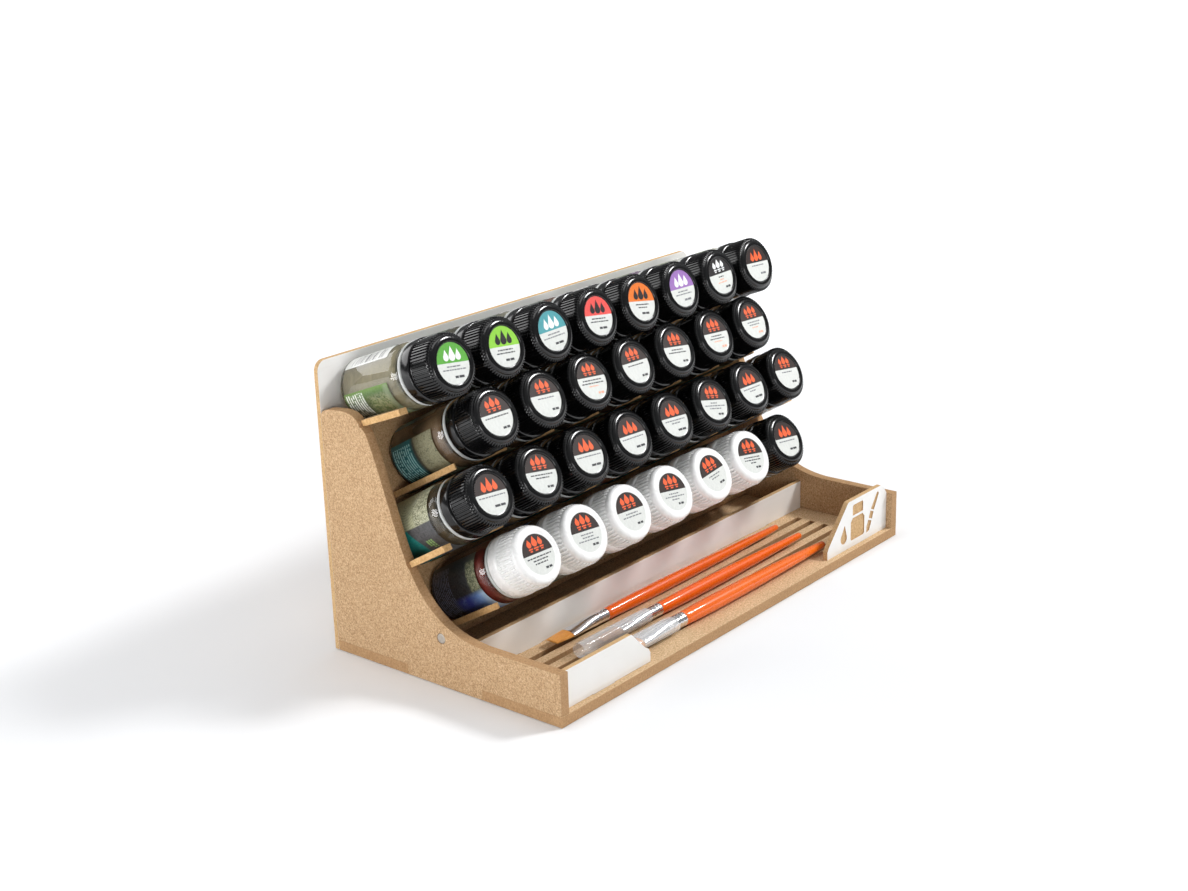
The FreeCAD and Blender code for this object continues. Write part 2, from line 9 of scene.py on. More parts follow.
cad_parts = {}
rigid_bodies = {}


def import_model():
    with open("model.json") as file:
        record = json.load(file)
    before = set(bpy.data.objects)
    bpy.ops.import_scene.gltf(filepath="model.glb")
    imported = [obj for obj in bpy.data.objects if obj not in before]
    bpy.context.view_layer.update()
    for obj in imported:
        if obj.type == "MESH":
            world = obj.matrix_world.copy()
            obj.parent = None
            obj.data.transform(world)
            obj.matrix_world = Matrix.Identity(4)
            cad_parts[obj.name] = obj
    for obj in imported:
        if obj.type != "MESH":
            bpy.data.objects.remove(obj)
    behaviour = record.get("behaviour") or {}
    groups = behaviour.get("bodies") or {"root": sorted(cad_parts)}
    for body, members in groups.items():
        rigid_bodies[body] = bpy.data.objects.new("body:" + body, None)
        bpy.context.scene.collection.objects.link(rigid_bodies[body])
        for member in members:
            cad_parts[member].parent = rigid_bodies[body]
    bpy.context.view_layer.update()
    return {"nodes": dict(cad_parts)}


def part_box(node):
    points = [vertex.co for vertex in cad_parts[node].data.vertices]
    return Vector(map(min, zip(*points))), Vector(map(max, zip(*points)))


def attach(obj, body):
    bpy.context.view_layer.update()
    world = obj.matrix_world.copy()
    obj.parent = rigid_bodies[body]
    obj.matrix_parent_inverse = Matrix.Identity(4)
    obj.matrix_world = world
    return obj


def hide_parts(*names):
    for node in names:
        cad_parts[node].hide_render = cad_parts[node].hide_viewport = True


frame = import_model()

scene = bpy.context.scene
scene.view_settings.view_transform = "Standard"
scene.view_settings.look = "None"
scene.view_settings.exposure = 0.0
scene.view_settings.gamma = 1.0

MM = 0.001
W2, Y0 = 165.0, -82.7            # corner of the base plate to the row frame, mm
NODES = frame["nodes"]
rng = random.Random(41)


def lin(r, g, b, a=1.0):
    """An sRGB colour of 0..255 as linear values."""
    def one(v):
        v = v / 255.0
        return v / 12.92 if v <= 0.04045 else ((v + 0.055) / 1.055) ** 2.4
    return (one(r), one(g), one(b), a)


# ------------------------------------------------------------ node building
class Mat:
    """A material with one Principled shader, and short calls for its pattern nodes."""

    def __init__(self, name, **sockets):
        self.mat = bpy.data.materials.new(name)
        self.mat.use_nodes = True
        self.nt = self.mat.node_tree
        self.nt.nodes.clear()
        self.out = self.nt.nodes.new("ShaderNodeOutputMaterial")
        self.bsdf = self.nt.nodes.new("ShaderNodeBsdfPrincipled")
        self.link(self.bsdf.outputs[0], self.out.inputs["Surface"])
        for key, value in sockets.items():
            self.set(key.replace("_", " "), value)

    def link(self, a, b):
        self.nt.links.new(a, b)

    def set(self, name, value):
        sock = self.bsdf.inputs[name]
        if hasattr(value, "is_output"):
            self.link(value, sock)
        else:
            sock.default_value = value

    def put(self, sock, value):
        if hasattr(value, "is_output"):
            self.link(value, sock)
        elif value is not None:
            sock.default_value = value

    def coord(self, kind="Object"):
        n = self.nt.nodes.new("ShaderNodeTexCoord")
        return n.outputs[kind]

    def scaled(self, vec, scale=(1, 1, 1), loc=(0, 0, 0), rot=(0, 0, 0)):
        n = self.nt.nodes.new("ShaderNodeMapping")
        self.link(vec, n.inputs["Vector"])
        n.inputs["Scale"].default_value = scale
        n.inputs["Location"].default_value = loc
        n.inputs["Rotation"].default_value = rot
        return n.outputs[0]

    def math(self, op, a, b=None, c=None, clamp=False):
        n = self.nt.nodes.new("ShaderNodeMath")
        n.operation = op
        n.use_clamp = clamp
        for sock, value in zip(n.inputs, (a, b, c)):
            self.put(sock, value)
        return n.outputs[0]

    def mix(self, fac, a, b, blend="MIX"):
        n = self.nt.nodes.new("ShaderNodeMix")
        n.data_type = "RGBA"
        n.blend_type = blend
        self.put(n.inputs[0], fac)
        self.put(n.inputs[6], a)
        self.put(n.inputs[7], b)
        return n.outputs[2]

    def noise(self, scale, detail=2.0, rough=0.5, vec=None, distortion=0.0):
        n = self.nt.nodes.new("ShaderNodeTexNoise")
        n.inputs["Scale"].default_value = scale
        n.inputs["Detail"].default_value = detail
        n.inputs["Roughness"].default_value = rough
        n.inputs["Distortion"].default_value = distortion
        self.link(vec if vec is not None else self.coord(), n.inputs["Vector"])
        return n.outputs[0]

    def voronoi(self, scale, vec=None, feature="F1", out="Distance"):
        n = self.nt.nodes.new("ShaderNodeTexVoronoi")
        n.feature = feature
        n.inputs["Scale"].default_value = scale
        self.link(vec if vec is not None else self.coord(), n.inputs["Vector"])
        return n.outputs[out]

    def span(self, value, a, b, lo=0.0, hi=1.0, smooth=False):
        n = self.nt.nodes.new("ShaderNodeMapRange")
        n.interpolation_type = "SMOOTHSTEP" if smooth else "LINEAR"
        self.link(value, n.inputs[0])
        for i, v in enumerate((a, b, lo, hi)):
            n.inputs[1 + i].default_value = v
        return n.outputs[0]

    def ramp(self, fac, stops):
        n = self.nt.nodes.new("ShaderNodeValToRGB")
        el = n.color_ramp.elements
        while len(el) < len(stops):
            el.new(0.5)
        for e, (pos, col) in zip(el, stops):
            e.position = pos
            e.color = col
        self.link(fac, n.inputs[0])
        return n.outputs[0]

    def bump(self, height, strength=0.2, distance=0.0002, normal=None):
        n = self.nt.nodes.new("ShaderNodeBump")
        n.inputs["Strength"].default_value = strength
        n.inputs["Distance"].default_value = distance
        self.link(height, n.inputs["Height"])
        if normal is not None:
            self.link(normal, n.inputs["Normal"])
        self.link(n.outputs[0], self.bsdf.inputs["Normal"])
        return n.outputs[0]

    def uv(self):
        """(angle round the jar in degrees, millimetres up from its bottom)."""
        sep = self.nt.nodes.new("ShaderNodeSeparateXYZ")
        self.link(self.coord("UV"), sep.inputs[0])
        return self.math("MULTIPLY", sep.outputs[0], 360.0), self.math("MULTIPLY", sep.outputs[1], 72.5)

    def vector(self, x, y, z=0.0):
        n = self.nt.nodes.new("ShaderNodeCombineXYZ")
        for sock, value in zip(n.inputs, (x, y, z)):
            self.put(sock, value)
        return n.outputs[0]

    def inside(self, value, a, b, soft=0.02):
        """1 where value lies between a and b."""
        up = self.span(value, a - soft, a + soft)
        down = self.span(value, b - soft, b + soft, 1.0, 0.0)
        return self.math("MULTIPLY", up, down)


# ---------------------------------------------------------- board materials
def board_material(name, base, dark, light, streak=None, rough=0.82, bump=0.30, grain=1.0):
    """Raw fibreboard.  streak squeezes the pattern along the thickness of a cut edge."""
    m = Mat(name)
    vec = m.coord()
    if streak:
        vec = m.scaled(vec, streak)
    mottle = m.noise(980.0, 4.0, 0.75, vec)
    fleck = m.noise(1250.0, 3.0, 0.70, vec)
    patch = m.noise(120.0, 3.0, 0.55, vec)
    broad = m.noise(24.0, 3.0, 0.55, vec)
    fibre = m.noise(640.0, 3.0, 0.6, m.scaled(vec, (1.0, 2.6, 1.6), rot=(0.4, 0.2, 0.7)), 0.5)
    col = m.ramp(mottle, [(0.38, dark), (0.47, base), (0.53, base), (0.62, light)])
    spot = m.span(fleck, 0.55, 0.64, 0.0, 0.52 * grain)
    col = m.mix(spot, col, (dark[0] * 0.62, dark[1] * 0.58, dark[2] * 0.52, 1.0), "MIX")
    pale = m.span(fibre, 0.57, 0.70, 0.0, 0.55 * grain)
    col = m.mix(pale, col, light)
    tone = m.ramp(m.math("ADD", m.math("MULTIPLY", broad, 0.6), m.math("MULTIPLY", patch, 0.4)), [(0.35, (0.925, 0.915, 0.90, 1)), (0.65, (1.0, 1.0, 1.0, 1))])
    col = m.mix(1.0, col, tone, "MULTIPLY")
    m.set("Base Color", col)
    m.set("Roughness", m.span(mottle, 0.3, 0.7, rough - 0.08, rough + 0.1))
    m.set("Specular IOR Level", 0.22)
    m.bump(m.math("ADD", mottle, m.math("MULTIPLY", fleck, 0.6)), bump, 0.00018)
    return m.mat


def laminate_material(name):
    """Thin white coating on the board: satin, with a faint orange peel and scuffs."""
    m = Mat(name)
    vec = m.coord()
    peel = m.noise(900.0, 2.0, 0.5, vec)
    broad = m.noise(18.0, 3.0, 0.5, vec)
    scuff = m.noise(60.0, 5.0, 0.7, m.scaled(vec, (0.35, 1.0, 3.0)))
    col = m.ramp(broad, [(0.3, lin(233, 231, 227)), (0.7, lin(243, 242, 240))])
    col = m.mix(m.span(scuff, 0.60, 0.80, 0.0, 0.22), col, lin(214, 208, 199))
    m.set("Base Color", col)
    m.set("Roughness", m.span(scuff, 0.3, 0.8, 0.34, 0.52))
    m.set("Specular IOR Level", 0.45)
    m.bump(peel, 0.08, 0.0001)
    return m.mat


FACE = board_material("raw_board_face", lin(199, 164, 125), lin(164, 129, 90), lin(222, 192, 155))
# the same board as FACE, painted lighter: painted top light on the base plate's faces
BASE_FACE_TOPLIT = board_material("raw_base_face_painted_toplight", lin(216, 183, 143), lin(182, 146, 104), lin(236, 208, 172))
WHITE = laminate_material("white_laminate")
BARE = board_material("bare_thin_edge", lin(208, 172, 126), lin(188, 150, 104), lin(222, 190, 146), rough=0.8, grain=0.5)
SIDE_EDGE = {
    "x": board_material("laser_edge_across_x", lin(182, 144, 104), lin(164, 126, 88), lin(196, 160, 120), streak=(0.8, 1.0, 1.0), rough=0.7, grain=0.5),
    "y": board_material("laser_edge_across_y", lin(200, 162, 116), lin(180, 142, 98), lin(216, 180, 134), streak=(1.0, 0.8, 1.0), rough=0.75, grain=0.5),
    "z": board_material("laser_edge_across_z", lin(184, 146, 105), lin(166, 128, 90), lin(198, 162, 122), streak=(1.0, 1.0, 0.8), rough=0.72, grain=0.5),
}
# lighter than the other cut edges of the same board: painted top light on the shelf edges
SHELF_EDGE_LIT = board_material("shelf_edge_painted_light", lin(214, 172, 118), lin(194, 150, 98), lin(228, 190, 138), streak=(1.0, 0.8, 0.7), rough=0.72, grain=0.45)
INNER = board_material("sloping_board_face", lin(204, 166, 122), lin(180, 142, 100), lin(220, 186, 144))


def dress(node, axis, faces, white_side=None):
    """Gives a flat board its face and edge finishes by the direction each facet looks in."""
    obj = NODES[node]
    me = obj.data
    me.materials.clear()
    for f in faces:
        me.materials.append(f)
    for p in me.polygons:
        d = p.normal.dot(axis)
        if abs(d) < 0.9:
            p.material_index = len(faces) - 1
        elif white_side is not None and d * white_side < 0:
            p.material_index = 1
        else:
            p.material_index = 0
    w = obj.modifiers.new("weld", "WELD")
    w.merge_threshold = 0.00002
    d = obj.modifiers.new("planar", "DECIMATE")
    d.decimate_type = "DISSOLVE"
    d.angle_limit = math.radians(0.6)
    d.delimit = {"MATERIAL", "NORMAL"}
    b = obj.modifiers.new("soft_edges", "BEVEL")
    b.width = 0.00028
    b.segments = 2
    b.limit_method = "ANGLE"
    b.angle_limit = math.radians(38)
    b.use_clamp_overlap = True
    b.harden_normals = False
    return obj


AX, AY, AZ = Vector((1, 0, 0)), Vector((0, 1, 0)), Vector((0, 0, 1))
dress("side_panel_left", AX, [FACE, SIDE_EDGE["x"]])
dress("side_panel_right", AX, [FACE, SIDE_EDGE["x"]])
dress("base_plate", AZ, [BASE_FACE_TOPLIT, SIDE_EDGE["z"]])
dress("back_panel", AY, [WHITE, FACE, BARE], white_side=-1.0)
dress("tray_divider", AY, [WHITE, FACE, BARE], white_side=-1.0)
dress("front_plate_left", AY, [WHITE, FACE, BARE], white_side=-1.0)
TILT = {1: 20.8, 2: 28.7, 3: 30.0, 4: 30.0}
for r, t in TILT.items():
    a = math.radians(t)
    dress("shelf_row_%d" % r, Vector((0, math.sin(a), math.cos(a))), [FACE, SHELF_EDGE_LIT])
a = math.radians(19.18)
dress("sloping_board", Vector((0, -math.cos(a), math.sin(a))), [INNER, SIDE_EDGE["y"]])


# ------------------------------------------------------------- mesh helpers
def link(obj):
    scene.collection.objects.link(obj)
    return obj


def mark_sharp(me, degrees):
    """Smooth shading with a crisp edge wherever two faces meet at more than the angle."""
    bm = bmesh.new()
    bm.from_mesh(me)
    limit = math.radians(degrees)
    for f in bm.faces:
        f.smooth = True
    for e in bm.edges:
        if len(e.link_faces) == 2:
            e.smooth = e.calc_face_angle(0.0) < limit
        else:
            e.smooth = False
    bm.to_mesh(me)
    bm.free()


def grid_mesh(name, rows, cols, place, closed=True, first_pole=None, last_pole=None, sharp=40.0, flip=False, uv=None):
    """A surface of rows x cols points from place(i, j) in millimetres, with optional end points."""
    verts = [Vector(place(i, j)) * MM for i in range(rows) for j in range(cols)]
    faces = []
    span = cols if closed else cols - 1
    for i in range(rows - 1):
        for j in range(span):
            k = (j + 1) % cols
            q = (i * cols + j, i * cols + k, (i + 1) * cols + k, (i + 1) * cols + j)
            faces.append(q[::-1] if flip else q)
    if first_pole is not None:
        verts.append(Vector(first_pole) * MM)
        c = len(verts) - 1
        for j in range(span):
            q = (c, (j + 1) % cols, j)
            faces.append(q[::-1] if flip else q)
    if last_pole is not None:
        verts.append(Vector(last_pole) * MM)
        c = len(verts) - 1
        b = (rows - 1) * cols
        for j in range(span):
            q = (c, b + j, b + (j + 1) % cols)
            faces.append(q[::-1] if flip else q)
    me = bpy.data.meshes.new(name)
    me.from_pydata([tuple(v) for v in verts], [], faces)
    me.update()
    if closed:
        volume = 0.0
        for poly in me.polygons:
            p = [me.vertices[i].co for i in poly.vertices]
            for k in range(1, len(p) - 1):
                volume += p[0].dot(p[k].cross(p[k + 1]))
        if volume < 0:
            me.flip_normals()
    if uv is not None:
        layer = me.uv_layers.new(name="LabelUV")
        for poly in me.polygons:
            for li in poly.loop_indices:
                vi = me.loops[li].vertex_index
                layer.data[li].uv = uv(vi // cols, vi % cols)
    mark_sharp(me, sharp)
    return me


def lathe(name, profile, n=64, sharp=40.0, flip=False):
    """Turns (radius, z) points round Z.  A radius of zero at an end closes it with one point."""
    prof = list(profile)
    first = last = None
    if prof[0][0] < 1e-9:
        first = (0, 0, prof.pop(0)[1])
    if prof[-1][0] < 1e-9:
        last = (0, 0, prof.pop(-1)[1])

    def place(i, j):
        t = 2 * math.pi * j / n
        return (prof[i][0] * math.cos(t), prof[i][0] * math.sin(t), prof[i][1])
    return grid_mesh(name, len(prof), n, place, True, first, last, sharp, flip)


def piece(name, me, mats, matrix, body, stands_for=()):
    obj = link(bpy.data.objects.new(name, me))
    if len(me.materials) == 0:
        for m in (mats if isinstance(mats, (list, tuple)) else [mats]):
            me.materials.append(m)
    else:
        for k, m in enumerate(mats if isinstance(mats, (list, tuple)) else [mats]):
            if obj.material_slots[k].material != m:
                obj.material_slots[k].link = "OBJECT"
                obj.material_slots[k].material = m
    obj.matrix_world = matrix
    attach(obj, body)
    if stands_for:
        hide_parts(*stands_for)
    return obj


# ------------------------------------------------------------ jar materials
def cap_plastic(name, base, tint, rough_lo, rough_hi, spec=0.5):
    m = Mat(name)
    vec = m.coord()
    n1 = m.noise(160.0, 3.0, 0.6, vec)
    n2 = m.noise(1500.0, 2.0, 0.5, vec)
    m.set("Base Color", m.mix(m.span(n1, 0.35, 0.7), base, tint))
    m.set("Roughness", m.span(n1, 0.3, 0.7, rough_lo, rough_hi))
    m.set("Specular IOR Level", spec)
    m.bump(n2, 0.06, 0.00008)
    return m


BLACK = cap_plastic("black_cap_plastic", lin(9, 9, 10), lin(16, 16, 17), 0.12, 0.20, 0.5).mat
_w = cap_plastic("white_cap_plastic", lin(243, 243, 242), lin(249, 249, 248), 0.22, 0.34, 0.5)
WHITECAP = _w.mat


def paper(name, col, tint, rough=0.45, scale=700.0):
    """Printed sticker paper: slight fibre and ink mottling."""
    m = Mat(name)
    vec = m.coord()
    n1 = m.noise(scale, 3.0, 0.6, vec)
    m.set("Base Color", m.mix(m.span(n1, 0.35, 0.7), col, tint))
    m.set("Roughness", m.span(n1, 0.3, 0.7, rough - 0.05, rough + 0.08))
    m.set("Specular IOR Level", 0.4)
    m.bump(n1, 0.05, 0.00005)
    return m.mat


PAPER = paper("sticker_paper", lin(214, 216, 212), lin(224, 226, 222))
INK = {
    "brown": paper("ink_dark_brown", lin(40, 28, 25), lin(50, 35, 31)),
    "green": paper("ink_green", lin(86, 162, 58), lin(96, 172, 66)),
    "lime": paper("ink_lime", lin(136, 200, 60), lin(146, 208, 70)),
    "teal": paper("ink_teal", lin(74, 152, 160), lin(84, 162, 170)),
    "red": paper("ink_red", lin(226, 78, 74), lin(234, 90, 84)),
    "amber": paper("ink_amber", lin(224, 112, 34), lin(232, 122, 42)),
    "violet": paper("ink_violet", lin(150, 108, 178), lin(160, 118, 186)),
    "orange": paper("ink_orange", lin(236, 92, 44), lin(244, 104, 54)),
    "white": paper("ink_white", lin(238, 240, 240), lin(246, 247, 247)),
    "black": paper("ink_black", lin(30, 26, 28), lin(40, 35, 36)),
    "grey": paper("ink_grey", lin(118, 120, 124), lin(134, 136, 140)),
    "coal": paper("ink_coal", lin(56, 57, 60), lin(68, 69, 72)),
    "peach": paper("ink_peach", lin(236, 170, 140), lin(240, 184, 156)),
}


def glass_material():
    m = Mat("jar_glass_clear")
    vec = m.coord()
    wave = m.noise(45.0, 2.0, 0.5, vec)
    m.set("Base Color", m.mix(m.span(wave, 0.3, 0.7), (0.90, 0.93, 0.92, 1), (0.96, 0.98, 0.97, 1)))
    m.set("Roughness", m.span(m.noise(300.0, 3.0, 0.6, vec), 0.4, 0.8, 0.0, 0.06))
    m.set("Transmission Weight", 1.0)
    m.set("IOR", 1.48)
    m.bump(wave, 0.03, 0.0004)
    clear = m.nt.nodes.new("ShaderNodeBsdfTransparent")
    clear.inputs[0].default_value = (0.93, 0.95, 0.94, 1)
    path = m.nt.nodes.new("ShaderNodeLightPath")
    mixer = m.nt.nodes.new("ShaderNodeMixShader")
    m.link(path.outputs["Is Shadow Ray"], mixer.inputs[0])
    m.link(m.bsdf.outputs[0], mixer.inputs[1])
    m.link(clear.outputs[0], mixer.inputs[2])
    m.link(mixer.outputs[0], m.out.inputs["Surface"])
    return m.mat


GLASS = glass_material()


def bead_highlight_material():
    """A pale ring round the glass bead under the cap: painted highlight standing in for the bright arcs the bead
    reflects.
    """
    m = Mat("painted_bead_highlight")
    n = m.noise(260.0, 3.0, 0.6)
    m.set("Base Color", m.mix(m.span(n, 0.35, 0.7), lin(226, 229, 226), lin(240, 242, 240)))
    m.set("Roughness", m.span(n, 0.3, 0.7, 0.12, 0.24))
    m.set("Transmission Weight", 0.35)
    m.bump(n, 0.05, 0.0002)
    return m.mat


BEAD_HIGHLIGHT_MAT = bead_highlight_material()


def paint_material(name, col, dark, seed, streaky=0.5):
    """Thick paint standing against the glass, with pigment streaks."""
    m = Mat(name)
    vec = m.scaled(m.coord(), (1, 1, 1), (seed * 0.37, seed * 0.11, seed * 0.53))
    big = m.noise(55.0, 4.0, 0.6, vec, 1.2)
    fine = m.noise(420.0, 3.0, 0.6, vec)
    fac = m.math("ADD", m.span(big, 0.40, 0.66, 0.0, streaky), m.span(fine, 0.4, 0.7, 0.0, 0.18))
    m.set("Base Color", m.mix(fac, col, dark))
    m.set("Roughness", m.span(fine, 0.3, 0.7, 0.35, 0.55))
    m.bump(fine, 0.08, 0.0002)
    return m.mat


PAINTS = {
    1: [((140, 130, 102), (98, 90, 68)), ((70, 66, 44), (48, 44, 30)), ((120, 116, 100), (88, 84, 72)), ((92, 62, 46), (60, 40, 30)),
        ((40, 38, 36), (24, 22, 22)), ((120, 96, 120), (90, 70, 92)), ((196, 194, 188), (160, 158, 150)), ((214, 210, 200), (180, 176, 166))],
    2: [((116, 90, 64), (70, 52, 36)), ((110, 84, 58), (78, 58, 40)), ((70, 56, 40), (44, 34, 26)), ((98, 70, 48), (64, 44, 32)),
        ((120, 92, 66), (86, 64, 46)), ((84, 62, 44), (56, 40, 30)), ((104, 76, 50), (70, 50, 34))],
    3: [((78, 66, 46), (44, 36, 26)), ((132, 106, 74), (96, 76, 52)), ((64, 48, 36), (40, 30, 24)), ((116, 66, 38), (78, 44, 26)),
        ((62, 44, 32), (38, 28, 22)), ((100, 84, 62), (70, 58, 44)), ((88, 74, 52), (58, 48, 34)), ((72, 58, 42), (48, 38, 28))],
    4: [((112, 32, 20), (66, 18, 11)), ((120, 112, 96), (90, 84, 72)), ((132, 120, 100), (98, 88, 72)), ((150, 132, 104), (112, 98, 76)),
        ((140, 126, 108), (104, 94, 80)), ((128, 116, 104), (96, 86, 76)), ((112, 110, 104), (84, 82, 78))],
}


# --------------------------------------------------------- label materials
def print_lines(m, deg, mm, a0, a1, v0, v1, period=1.75, thick=0.46, gaps=0.24, seed=0.0):
    """Rows of small dashes running round the jar, stacked along it, as print looks from afar."""
    row = m.math("DIVIDE", m.math("SUBTRACT", mm, v0), period)
    part = m.math("FRACT", row)
    on = m.inside(part, 0.5 - thick / 2, 0.5 + thick / 2, 0.08)
    idx = m.math("FLOOR", row)
    gap = m.noise(1.0, 2.0, 0.6, m.vector(m.math("MULTIPLY", deg, gaps), m.math("MULTIPLY", idx, 7.31), seed))
    word = m.span(gap, 0.40, 0.46)
    length = m.noise(1.0, 0.0, 0.5, m.vector(m.math("MULTIPLY", idx, 3.71), seed, 0.5))
    end = m.math("ADD", a1 - 26.0, m.math("MULTIPLY", length, 52.0))
    near = m.span(m.math("SUBTRACT", end, deg), -0.5, 0.5)
    area = m.math("MULTIPLY", m.math("MULTIPLY", m.inside(deg, a0, a1 + 30, 0.6), near), m.inside(mm, v0, v1, 0.1))
    return m.math("MULTIPLY", m.math("MULTIPLY", on, word), area)


def label_base(name):
    m = Mat(name)
    deg, mm = m.uv()
    return m, deg, mm


def finish_label(m, col):
    grain = m.noise(900.0, 2.0, 0.5)
    m.set("Base Color", m.mix(m.span(grain, 0.3, 0.8, 0.0, 0.06), col, (1, 1, 1, 1)))
    m.set("Roughness", m.span(grain, 0.3, 0.7, 0.30, 0.42))
    m.set("Specular IOR Level", 0.5)
    m.bump(grain, 0.04, 0.00005)
    return m.mat


def speckle(m, deg, mm, scale, stops, seed):
    v = m.vector(m.math("MULTIPLY", deg, 0.316), mm, seed)
    n = m.noise(scale, 5.0, 0.72, v, 1.4)
    return m.ramp(n, stops)


def label_green():
    m, deg, mm = label_base("label_green")
    col = m.ramp(m.span(deg, 177, 260), [(0.0, lin(100, 138, 44)), (0.10, lin(78, 110, 38)), (0.3, lin(48, 66, 30)), (0.75, lin(58, 74, 48)), (1.0, lin(62, 78, 52))])
    pic = speckle(m, deg, mm, 0.42, [(0.32, lin(38, 54, 30)), (0.46, lin(84, 104, 52)), (0.55, lin(150, 152, 112)), (0.66, lin(64, 60, 42)), (0.78, lin(198, 188, 150))], 1.3)
    area = m.math("MULTIPLY", m.inside(deg, 192, 300, 5.0), m.inside(mm, 20, 37, 2.5))
    col = m.mix(area, col, pic)
    pale = m.math("MULTIPLY", m.inside(deg, 178, 250, 1.0), m.inside(mm, 34.5, 38.5, 1.2))
    col = m.mix(m.math("MULTIPLY", pale, 0.5), col, lin(140, 150, 120))
    txt = print_lines(m, deg, mm, 180.5, 240, 3.8, 17.8, thick=0.52)
    col = m.mix(txt, col, lin(236, 240, 232))
    # white strip with plain uneven bars along its far edge
    strip = m.math("MULTIPLY", m.inside(deg, 458, 492, 0.3), m.inside(mm, 1.0, 38.4, 0.1))
    col = m.mix(strip, col, lin(232, 232, 228))
    bars = m.noise(1.0, 0.0, 0.5, m.vector(m.math("MULTIPLY", mm, 0.95), 3.7, 0.0))
    bars = m.math("MULTIPLY", m.inside(bars, 0.44, 0.56, 0.01), m.math("MULTIPLY", m.inside(deg, 464, 488, 0.3), m.inside(mm, 7, 35, 0.1)))
    col = m.mix(bars, col, lin(46, 46, 48))
    return finish_label(m, col)


def label_teal():
    m, deg, mm = label_base("label_teal")
    bend = m.math("MULTIPLY", m.math("POWER", m.math("ABSOLUTE", m.math("SUBTRACT", deg, 190)), 2.0), 0.0009)
    edge = m.math("ADD", mm, bend)
    col = m.ramp(m.span(mm, 0, 39), [(0.0, lin(4, 92, 98)), (0.48, lin(8, 108, 112)), (0.52, lin(8, 80, 84)), (0.56, lin(60, 56, 40)), (0.62, lin(92, 88, 66)), (1.0, lin(140, 136, 104))])
    pic = speckle(m, deg, mm, 0.62, [(0.34, lin(64, 62, 46)), (0.45, lin(128, 126, 98)), (0.55, lin(168, 164, 132)), (0.64, lin(82, 78, 60)), (0.76, lin(190, 184, 150))], 4.1)
    area = m.math("MULTIPLY", m.inside(deg, 154, 330, 2.0), m.inside(edge, 23.5, 60, 0.8))
    col = m.mix(area, col, pic)
    txt = print_lines(m, deg, mm, 161, 300, 3.9, 19.7, seed=2.0)
    col = m.mix(m.math("MULTIPLY", txt, 0.9), col, lin(176, 226, 226))
    return finish_label(m, col)


def label_olive():
    m, deg, mm = label_base("label_olive")
    d2 = m.math("SQRT", m.math("ADD", m.math("POWER", m.math("MULTIPLY", m.math("SUBTRACT", deg, 128), 0.316), 2.0), m.math("POWER", m.math("SUBTRACT", mm, 21), 2.0)))
    rings = m.math("SINE", m.math("MULTIPLY", d2, 4.4))
    base = speckle(m, deg, mm, 0.5, [(0.3, lin(120, 124, 96)), (0.5, lin(166, 168, 132)), (0.7, lin(190, 190, 156))], 7.7)
    col = m.mix(m.span(rings, 0.45, 0.8, 0.0, 0.55), base, lin(206, 206, 176))
    lace = speckle(m, deg, mm, 0.9, [(0.42, lin(96, 98, 76)), (0.5, lin(170, 172, 138)), (0.6, lin(214, 212, 186))], 2.2)
    col = m.mix(m.inside(mm, 27, 42, 0.6), col, lace)
    low = m.span(deg, 175.0, 177.0)
    turq = m.ramp(m.span(deg, 176, 260), [(0.0, lin(8, 138, 130)), (1.0, lin(6, 112, 110))])
    dark = speckle(m, deg, mm, 0.3, [(0.35, lin(58, 58, 60)), (0.6, lin(80, 80, 82))], 5.5)
    arc = m.math("ADD", mm, m.math("MULTIPLY", m.math("SINE", m.math("MULTIPLY", deg, 0.05)), 3.5))
    lower = m.mix(m.span(arc, 21.0, 21.8), turq, dark)
    col = m.mix(low, col, lower)
    code = print_lines(m, deg, mm, 206, 226, 28.0, 33.4, 1.8, 0.6, 0.5, 3.0)
    col = m.mix(code, col, lin(150, 192, 110))
    return finish_label(m, col)


def label_night():
    m, deg, mm = label_base("label_night")
    col = m.ramp(m.span(mm, 0, 39), [(0.0, lin(30, 26, 30)), (0.4, lin(26, 24, 28)), (0.8, lin(42, 44, 46)), (1.0, lin(84, 86, 74))])
    pic = speckle(m, deg, mm, 0.7, [(0.38, lin(40, 46, 38)), (0.5, lin(110, 116, 86)), (0.6, lin(170, 168, 138)), (0.72, lin(54, 56, 44))], 9.1)
    area = m.math("MULTIPLY", m.inside(deg, 140, 194, 2.0), m.inside(mm, 32, 40, 0.8))
    col = m.mix(area, col, pic)
    txt = print_lines(m, deg, mm, 134, 225, 3.2, 17.2, 1.4, 0.34, 0.28, 6.0)
    col = m.mix(m.math("MULTIPLY", txt, 0.55), col, lin(150, 158, 190))
    sky = m.ramp(m.span(mm, 14, 39), [(0.0, lin(34, 38, 96)), (0.45, lin(46, 60, 158)), (0.8, lin(112, 148, 206)), (1.0, lin(176, 202, 226))])
    cloud = m.noise(0.16, 4.0, 0.6, m.vector(m.math("MULTIPLY", deg, 0.316), mm, 2.0), 0.8)
    sky = m.mix(m.span(cloud, 0.5, 0.7, 0.0, 0.45), sky, lin(150, 178, 216))
    area = m.math("MULTIPLY", m.span(deg, 192, 202), m.math("MULTIPLY", m.span(mm, 13, 18), m.inside(deg, 0, 300, 2.0)))
    col = m.mix(area, col, sky)
    return finish_label(m, col)


LABEL = {1: label_green(), 2: label_teal(), 3: label_olive(), 4: label_night()}


